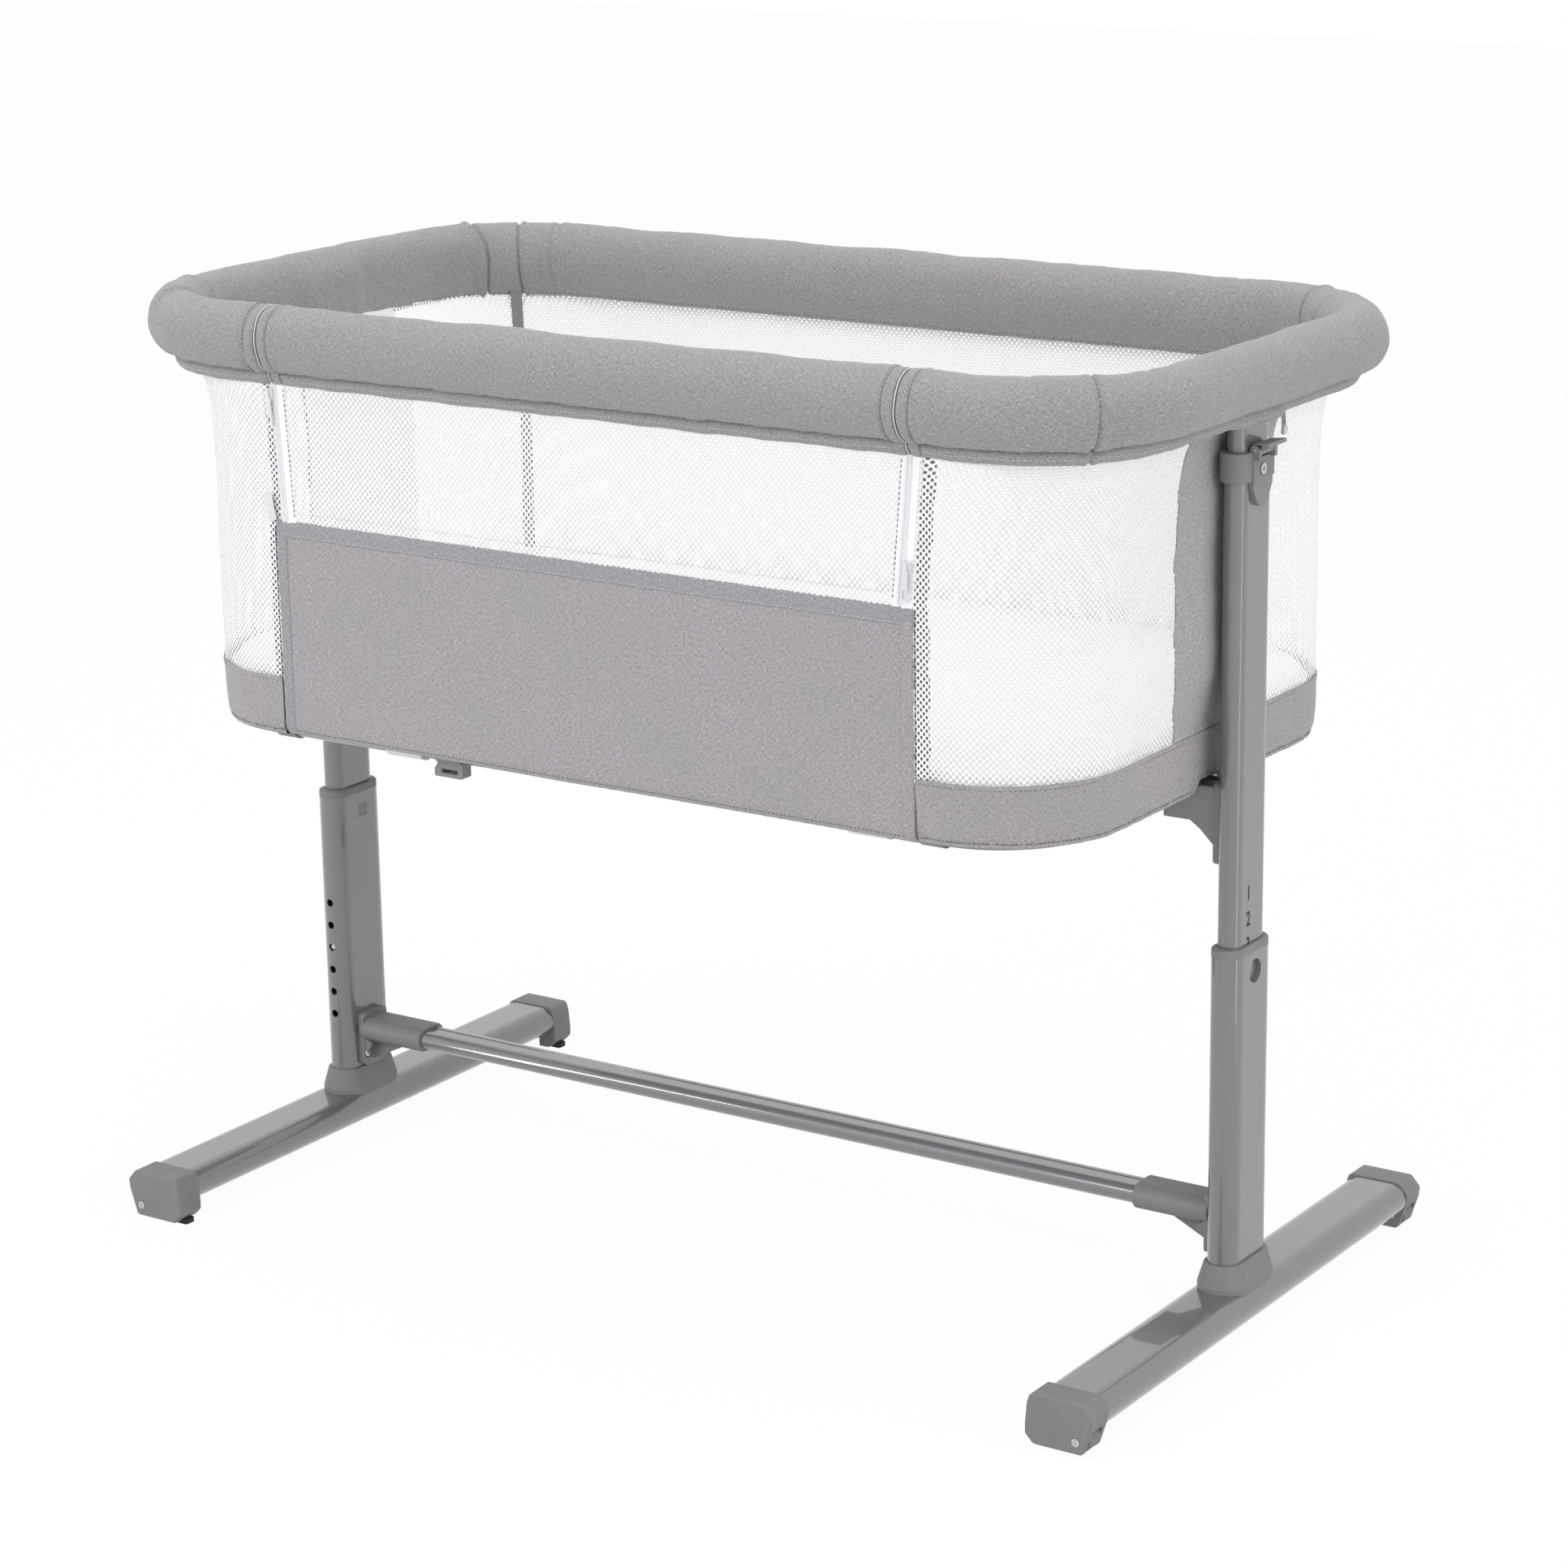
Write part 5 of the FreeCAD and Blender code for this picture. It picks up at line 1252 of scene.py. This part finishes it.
def sewn_cover(name, body, runs, thread, length, gap, radius):
    stitches(name, runs, thread, body, length, gap, radius)


sewn_cover("rim_zip_seams_fixed", "basket", zip_seams(SEAM_OUT), DARK_THREAD, 2.6, 0.7, 0.3)
sewn_cover("rim_zip_seams_drop", "drop_side", zip_seams(SEAM_IN), DARK_THREAD, 2.6, 0.7, 0.3)
sewn_cover("rim_hem_stitching_fixed", "basket",
           round_cover(U_HEM, 0.05, SEAM_OUT + 1.0, S_ROUND - SEAM_OUT - 1.0),
           PALE_THREAD, 2.5, 1.5, 0.24)
sewn_cover("rim_hem_stitching_drop", "drop_side", round_cover(U_HEM, 0.05, 1.0 - SEAM_IN, SEAM_IN - 1.0),
           PALE_THREAD, 2.5, 1.5, 0.24)
# a dark seam along the crease, its long close stitches also standing in as painted shade of the crease
sewn_cover("rim_crease_seam_and_shade_fixed", "basket", round_cover(U_CREASE, 0.3, SEAM_OUT, S_ROUND - SEAM_OUT),
           DARK_THREAD, 3.0, 0.3, 0.45)
sewn_cover("rim_crease_seam_and_shade_drop", "drop_side", round_cover(U_CREASE, 0.3, -SEAM_IN, SEAM_IN),
           DARK_THREAD, 3.0, 0.3, 0.45)
sewn_cover("rim_inner_stitching", "basket", round_cover(U_INNER, 0.05, 292.0, S_ROUND - 292.0),
           DARK_THREAD, 1.6, 2.6, 0.3)
sewn_cover("drop_rail_inner_stitching", "drop_side", round_cover(U_INNER, 0.05, -286.0, 286.0),
           DARK_THREAD, 1.6, 2.6, 0.3)
sewn_cover("rim_corner_seams", "basket",
           [join_run(FRONT_RIGHT_JOIN, 0.4, 11.5, 0.05),
            join_run(BACK_RIGHT_JOIN, 9.0, 21.0),
            join_run(BACK_LEFT_JOIN, 9.0, 21.0),
            join_run(CORNER_JOIN, 9.0, 21.0),
            join_run(FRONT_LEFT_JOIN, 11.0, 20.0)],
           DARK_THREAD, 2.3, 1.0, 0.3)

# ---- drop side netting ----------------------------------------------------
# close rows for the netting and the tapes just above the panel's top
FOLD_ROWS = [598.2, 599.3, 600.6, 602.0, 603.6, 605.2, 606.6]
NETTING_COUNT = 120


def front_y(z):
    return along(z, WALL_FRONT_AT)


def drop_net_y(x, z, from_zip):
    """Place of the drop side's netting: slack in the middle, puckered along its seams."""
    slack = ease(z, 612, 640) * (1.0 - ease(z, 680, 705)) * min(1.0, from_zip / 30.0)
    sag = slack * (1.5 * wobble(x, z, 0, 90.0) + 0.5 * wobble(x, z, 0, 35.0, 3.0))
    beat = 0.3 * math.sin(x / 3.3 + 2 * wobble(x, 0, 0, 40.0)) + 0.2 * math.sin(x / 7.9)
    seam = (past(z, 603.0, 8.0) + past(-z, -706.0, 8.0)) * beat
    side_seam = math.exp(-from_zip / 9.0) * 0.5 * math.sin(z / 4.0 + 1.5 * wobble(0, 0, z, 20.0))
    return front_y(z) - sag - seam - side_seam


rows = []
places = []
for z in FOLD_ROWS + steps(609.0, WALL_TOP, 5.0) + IN_COVER:
    edge = zip_x(z) - 1.2
    xs = [-edge + 2 * edge * j / NETTING_COUNT for j in range(NETTING_COUNT + 1)]
    rows.append([(x, drop_net_y(x, z, edge - abs(x)), z) for x in xs])
    places.append([(x, z) for x in xs])
drop_mesh = woven("drop_side_netting", rows, places, NETTING, None)
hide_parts("drop_side_mesh")

# ---- zips -----------------------------------------------------------------
TEETH_FROM = 600.0
TEETH_TO = 708.0
TOOTH_PITCH = 1.2


def zip_tape(name, side, way, wide, heights, body):
    """One tape of a zip; way 1 runs away from the crib's middle, -1 towards it."""
    section = ((0.35, 0.3), (0.7, 0.75), (2.2, 1.25), (3.4, 0.95), (0.5 * wide + 1.75, 0.85),
               (wide - 0.7, 0.75), (wide - 0.1, 0.45), (wide, 0.0))
    rows = []
    for z in heights:
        row = []
        for off, lift in section:
            wave = (0.25 * math.sin(z / 2.4) + 0.35 * math.sin(z / 6.1 + side)) * ease(off, 4, 8)
            x = side * (zip_x(z) + way * (off + wave * 0.6))
            row.append((x, front_y(z) - lift - wave * 0.5, z))
        rows.append(row)
    places = [[(off, z) for off, lift in section] for z in heights]
    return woven(name, rows, places, TAPE, body)


def zip_teeth(name, side, way, shift, body):
    """The coil of one tape, tooth by tooth; the two coils stand half a pitch apart."""
    teeth = []
    z = TEETH_FROM
    while z < TEETH_TO:
        x = zip_x(z + shift)
        y = front_y(z) - 1.55
        root = Vector((side * (x + way * 2.9), y, z + shift))
        tip = Vector((side * (x - way * 0.15), y - 0.25, z + shift + 0.25))
        teeth.append((root, tip, Vector(TO_FRONT), 0.44))
        z += TOOTH_PITCH
    return capsules(name, teeth, COIL, body)


def tape_stitching(name, side, way, wide, thread, body):
    run = []
    for z in steps(603.0, 706.0, 3.0):
        run.append(((side * (zip_x(z) + way * (wide - 1.2)), front_y(z) - 0.9, z), TO_FRONT))
    return stitches(name, [run], thread, body, 2.6, 1.3, 0.34)


FIXED_HEIGHTS = steps(597.5, 714.0, 3.0)
DROP_HEIGHTS = FOLD_ROWS + steps(608.0, 714.0, 3.0)
fixed_tapes = []
drop_tapes = []
for name, side, fixed_wide, drop_wide in (("right", 1, 10.5, 7.8), ("left", -1, 4.4, 10.5)):
    fixed_tapes.append((
        zip_tape("fixed_zip_tape_" + name, side, 1, fixed_wide, FIXED_HEIGHTS, "basket"),
        zip_teeth("fixed_zip_coil_" + name, side, 1, TOOTH_PITCH / 2, "basket"),
        tape_stitching("fixed_zip_stitching_" + name, side, 1, fixed_wide, PALE_THREAD, "basket")))
    drop_tapes.append((
        zip_tape("drop_zip_tape_" + name, side, -1, drop_wide, DROP_HEIGHTS, None),
        zip_teeth("drop_zip_coil_" + name, side, -1, 0.0, None),
        tape_stitching("drop_zip_stitching_" + name, side, -1, drop_wide, DARK_THREAD, None)))
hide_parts("basket_zip_tapes")
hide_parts("drop_side_zip_tapes")
foot_stitching = stitches("drop_side_foot_stitching",
                          [[((x, WALL_FRONT - 0.3, 607.4), TO_FRONT) for x in steps(-270, 270, 6.0)]],
                          PALE_THREAD, None, 2.4, 1.6, 0.26)
# bake the places of the drop side's netting, tapes and stitching into their meshes
for piece in (drop_mesh, foot_stitching) + drop_tapes[0] + drop_tapes[1]:
    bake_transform(piece)

# ---- mattress and floor cloth ---------------------------------------------
MATTRESS_INSET = 6.0
BASKET_MIDDLE_Y = 2.5
# share of the way out, and how far below the top; without the second it lies on the top
MATTRESS_TOP_SHARES = (0.04, 0.12, 0.25, 0.4, 0.55, 0.7, 0.8, 0.88, 0.93, 0.955, 0.97)
MATTRESS_SIDE = (
    (0.98, -1.0), (0.988, -3.4), (0.993, -6.6), (0.9955, -8.6), (1.0, -9.6), (1.003, -10.9),
    (1.0, -12.2), (0.9955, -13.2), (0.996, -18.0), (0.996, -24.0), (0.9955, -27.0), (1.0, -28.0),
    (1.002, -29.2), (0.999, -30.4), (0.993, -31.4), (0.985, -33.2), (0.97, -34.6),
    (0.9, -35.0), (0.7, -35.0), (0.4, -35.0), (0.1, -35.0))


def mattress_xy(share, t):
    """Place inside the walls, share of the way out from the middle to the mattress's edge."""
    (x, y, _), (nx, ny, _) = wall(t, 445.0)
    x -= nx * MATTRESS_INSET
    y -= ny * MATTRESS_INSET
    return x * share, BASKET_MIDDLE_Y + (y - BASKET_MIDDLE_Y) * share


def mattress_top(x, y):
    edge = min(396.0 - abs(x), 230.0 - abs(y - BASKET_MIDDLE_Y))
    soft = 0.8 * wobble(x, y, 0, 150.0, 1.0) + 0.35 * wobble(x, y, 0, 40.0, 6.0)
    return MATTRESS_TOP - 1.2 + ease(edge, 0, 120) + soft


ring_ts = steps(0.0, T_ROUND, 9.0)[:-1]
rows = []
places = []
for share in MATTRESS_TOP_SHARES:
    spots = [mattress_xy(share, t) for t in ring_ts]
    rows.append([(x, y, mattress_top(x, y)) for x, y in spots])
    places.append(spots + spots[:1])
for share, drop in MATTRESS_SIDE:
    spots = [mattress_xy(share, t) for t in ring_ts]
    z = MATTRESS_TOP + (0.2 if drop > -30 else -0.3) + drop
    rows.append([(x, y, z) for x, y in spots])
    places.append([(x, y + drop * 3.0) for x, y in spots] + spots[:1])
mattress = woven("mattress_pad", rows, places, COVER_KNIT, "basket", ring=True)
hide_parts("mattress")
piping_run = []
for t in steps(0, T_ROUND, 6.0):
    x, y = mattress_xy(0.996, t)
    piping_run.append(((x, y, MATTRESS_TOP - 8.2), (x / 400.0, y / 240.0, 0.0)))
stitches("mattress_piping_stitching", [piping_run], PALE_THREAD, "basket", 2.2, 1.6, 0.24)

# the floor cloth: half its length, its corners' radius, and where they start at front and back
FLOOR_HALF = 397.0
FLOOR_R = 97.0
FLOOR_BEND_FRONT = -138.0
FLOOR_BEND_BACK = 143.0
rows = []
places = []
for y in steps(-229.0, 234.0, 9.0):
    into_corner = max(0.0, FLOOR_BEND_FRONT - y, y - FLOOR_BEND_BACK)
    half = FLOOR_HALF - FLOOR_R + math.sqrt(max(0.0, FLOOR_R ** 2 - into_corner ** 2))
    xs = [-half + 2 * half * j / 90 for j in range(91)]
    rows.append([(x, y, 441.75 - 0.3 * abs(wobble(x, y, 0, 60.0))) for x in xs])
    places.append([(x, y) for x in xs])
floor_cloth = woven("basket_floor_cloth", rows, places, FLOOR_CLOTH, "basket")
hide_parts("basket_floor")


# ---- ribbons, pull and height numbers -------------------------------------
def ribbon(name, path, across, width, material, curl):
    """A narrow band along a path; across is the direction of its width, curl bends it."""
    run = lengths(path)
    shares = [j / 6.0 - 0.5 for j in range(7)]
    rows = []
    for x, y, z in path:
        row = []
        for share in shares:
            v = share * width
            bend = curl * (share * 2) ** 2
            row.append((x + across[0] * v, y + across[1] * v - bend * across[0], z + across[2] * v))
        rows.append(row)
    places = [[(share * width, at) for share in shares] for at in run]
    return woven(name, rows, places, material, "basket")


foot_path = [(-297.6 + 4.6 * w, -237.5 - 0.5 * math.sin(w * math.pi), 621.0 - 21.0 * w)
             for w in steps(0, 1, 0.06)]
foot_ribbon = ribbon("zip_foot_ribbon", foot_path, (0.97, 0.0, 0.24), 7.6, RIBBON, 0.3)

# the ribbon in the back left corner follows the wall, and leans out to the hem above it
LEAN_FROM = 676.0
RIBBON_T = T_BACK + 2 * FRONT_HALF + 80.8
RIBBON_WIDTH = 9.3
rows = []
places = []
for z in steps(484.0, 712.0, 4.0):
    row = []
    place = []
    for j in range(6):
        t = RIBBON_T + RIBBON_WIDTH * j / 5 + 0.4 * math.sin(z / 19.0)
        (x, y, _), (nx, ny, _) = wall(t, min(z, LEAN_FROM), -1.0)
        reach = 0.12 * max(0.0, z - LEAN_FROM)
        row.append((x + nx * reach, y + ny * reach, z))
        place.append((t, z))
    rows.append(row)
    places.append(place)
corner_ribbon = woven("corner_ribbon", rows, places, CORNER_TAPE, "basket")

pull_path = [(438.6 + 1.1 * math.sin(w * 2.2), 38.0, 709.5 - 16.5 * w) for w in steps(0, 1, 0.05)]
pull = ribbon("rim_cover_pull", pull_path, (0.0, 1.0, 0.0), 7.0, CORNER_TAPE, 0.2)
pull_bar = (Vector((440.6, 38.0, 697.5)), Vector((440.2, 38.0, 690.0)), Vector((1, 0, 0)), 2.3)
pull_end = capsules("rim_cover_pull_end", [pull_bar], SLIDER_METAL, "basket")
for piece in (foot_ribbon, corner_ribbon, pull):
    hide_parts("fabric_tabs")

# the numbers lie on the leg's outer face: each point is dropped onto it from the right
NUMBER_SIZE = 0.0162
NUMBER_BOLD = 0.00035
NUMBER_DEPTH = 0.00003
NUMBER_NARROW = 0.78
NUMBER_Y = -0.0055
NUMBER_PROUD = 0.00005
LEG_FACE_X = 0.43958
STAND_UP = Matrix(((0, 0, 1, 0), (1, 0, 0, 0), (0, 1, 0, 0), (0, 0, 0, 1)))
leg = frame["nodes"]["inner_leg_tube_right"]
leg_place = leg.matrix_world.copy()
to_leg = leg_place.inverted()


def number_shape(name, value):
    """Mesh of a plain number, flat and centred, cut from a text curve."""
    words = bpy.data.curves.new(name, "FONT")
    words.body = str(value)
    words.size = NUMBER_SIZE
    words.offset = NUMBER_BOLD
    words.extrude = NUMBER_DEPTH
    words.align_x = "CENTER"
    words.align_y = "CENTER"
    maker = bpy.data.objects.new(name + "_maker", words)
    bpy.context.scene.collection.objects.link(maker)
    bpy.context.view_layer.update()
    shape = bpy.data.meshes.new_from_object(maker.evaluated_get(bpy.context.evaluated_depsgraph_get()))
    bpy.data.objects.remove(maker)
    shape.materials.clear()
    return shape


for value, height in ((1, 351.0), (2, 331.0), (3, 311.0), (4, 291.0)):
    name = "height_number_%d" % value
    shape = number_shape(name, value)
    shape.transform(Matrix.Diagonal((NUMBER_NARROW, 1.0, 1.0, 1.0)))
    shape.transform(STAND_UP)
    shape.transform(Matrix.Translation((LEG_FACE_X, NUMBER_Y, height * MM)))
    lowest = min(v.co.x for v in shape.vertices)
    for v in shape.vertices:
        above = to_leg @ Vector((0.6, v.co.y, v.co.z))
        struck, spot, _, _ = leg.ray_cast(above, Vector((-1.0, 0.0, 0.0)))
        v.co.x = (leg_place @ spot).x + NUMBER_PROUD + (v.co.x - lowest) if struck else LEG_FACE_X
    new_piece(name, shape, INK, "basket")

# ---- sheets ---------------------------------------------------------------
hung(mesh_right)
hung(mesh_left)
hung(mesh_back)
for piece in strips + backings:
    hung(piece)
hung(band)
hung(panel)
for piece in hem_pieces:
    hung(piece)
hung(drop_mesh)
for tape, coil, thread in fixed_tapes:
    hung(tape)
for tape, coil, thread in drop_tapes:
    hung(tape)
hung(floor_cloth)
hung(foot_ribbon)
hung(corner_ribbon)
hung(pull)

# ---- floor and sky ---------------------------------------------------------
WHITE = grey(1.0)
paper = Finish("white studio floor")
seen = paper.background_rays()
matt = paper.node("ShaderNodeBsdfDiffuse", None, Color=grey(0.8), Roughness=0.5)
glow = paper.node("ShaderNodeEmission", None, Color=WHITE, Strength=1.0)
both = paper.node("ShaderNodeMixShader", None, i0=seen * 0.95, i1=matt.outputs[0], i2=glow.outputs[0])
paper.node("ShaderNodeOutputMaterial", None, Surface=both.outputs[0])
floor_data = bpy.data.meshes.new("studio_floor")
floor_data.from_pydata([(-9, -9, 0), (9, -9, 0), (9, 9, 0), (-9, 9, 0)], [], [(0, 1, 2, 3)])
floor_data.materials.append(paper.material)
floor = bpy.data.objects.new("studio_floor", floor_data)
bpy.context.scene.collection.objects.link(floor)

sky = bpy.data.worlds.new("studio")
sky.use_nodes = True
bpy.context.scene.world = sky
air = Graph(sky.node_tree)
seen = air.background_rays()
soft_sky = air.node("ShaderNodeBackground", None, Color=WHITE, Strength=0.8)
white_sky = air.node("ShaderNodeBackground", None, Color=WHITE, Strength=1.0)
both = air.node("ShaderNodeMixShader", None, i0=seen, i1=soft_sky.outputs[0], i2=white_sky.outputs[0])
air.node("ShaderNodeOutputWorld", None, Surface=both.outputs[0])


# ---- lamps and camera ------------------------------------------------------
def lamp(name, place, aim, size, power):
    """A soft rectangle of light at a place in metres, turned to its aim."""
    light = bpy.data.lights.new(name, "AREA")
    light.shape = "RECTANGLE"
    light.size, light.size_y = size
    light.energy = power
    holder = bpy.data.objects.new(name, light)
    holder.location = place
    holder.rotation_euler = (Vector(aim) - Vector(place)).to_track_quat("-Z", "Y").to_euler()
    holder.visible_camera = False
    bpy.context.scene.collection.objects.link(holder)


lamp("key_front", (-0.9, -3.1, 2.5), (0, 0, 0.5), (1.5, 1.5), 32)
lamp("fill_right", (3.0, -1.3, 1.8), (0.2, 0, 0.5), (1.2, 1.8), 23)
lamp("top_soft", (0.1, 0.2, 3.2), (0, 0, 0.5), (2.4, 2.0), 31)
lamp("strip_right", (1.15, -0.1, 0.46), (0.43, 0, 0.46), (0.07, 0.9), 0.6)
lamp("strip_left", (-1.9, -2.3, 1.0), (0, 0, 0.4), (0.14, 1.9), 12)

# the camera stands as the photograph's did: its place in metres, its turn, and its focal
# length in pixels of a picture 1932 wide
CAMERA_AT = Vector((1.814, -2.668, 1.274))
YAW = math.radians(33.90)
PITCH = math.radians(15.63)
ROLL = math.radians(-0.89)
FOCAL = 5163.0
PICTURE = 1932.0
forward = Vector((-math.sin(YAW) * math.cos(PITCH), math.cos(YAW) * math.cos(PITCH), -math.sin(PITCH)))
level = Vector((math.cos(YAW), math.sin(YAW), 0.0))
upward = level.cross(forward)
turned_right = math.cos(ROLL) * level + math.sin(ROLL) * upward
turned_up = -math.sin(ROLL) * level + math.cos(ROLL) * upward
lens = bpy.data.cameras.new("camera")
lens.sensor_width = 36.0
lens.lens = FOCAL / PICTURE * lens.sensor_width
placing = Matrix((turned_right, turned_up, -forward)).transposed().to_4x4()
placing.translation = CAMERA_AT
camera = bpy.data.objects.new("camera", lens)
camera.matrix_world = placing
bpy.context.scene.collection.objects.link(camera)
bpy.context.scene.camera = camera
bpy.context.scene.view_settings.view_transform = "Standard"
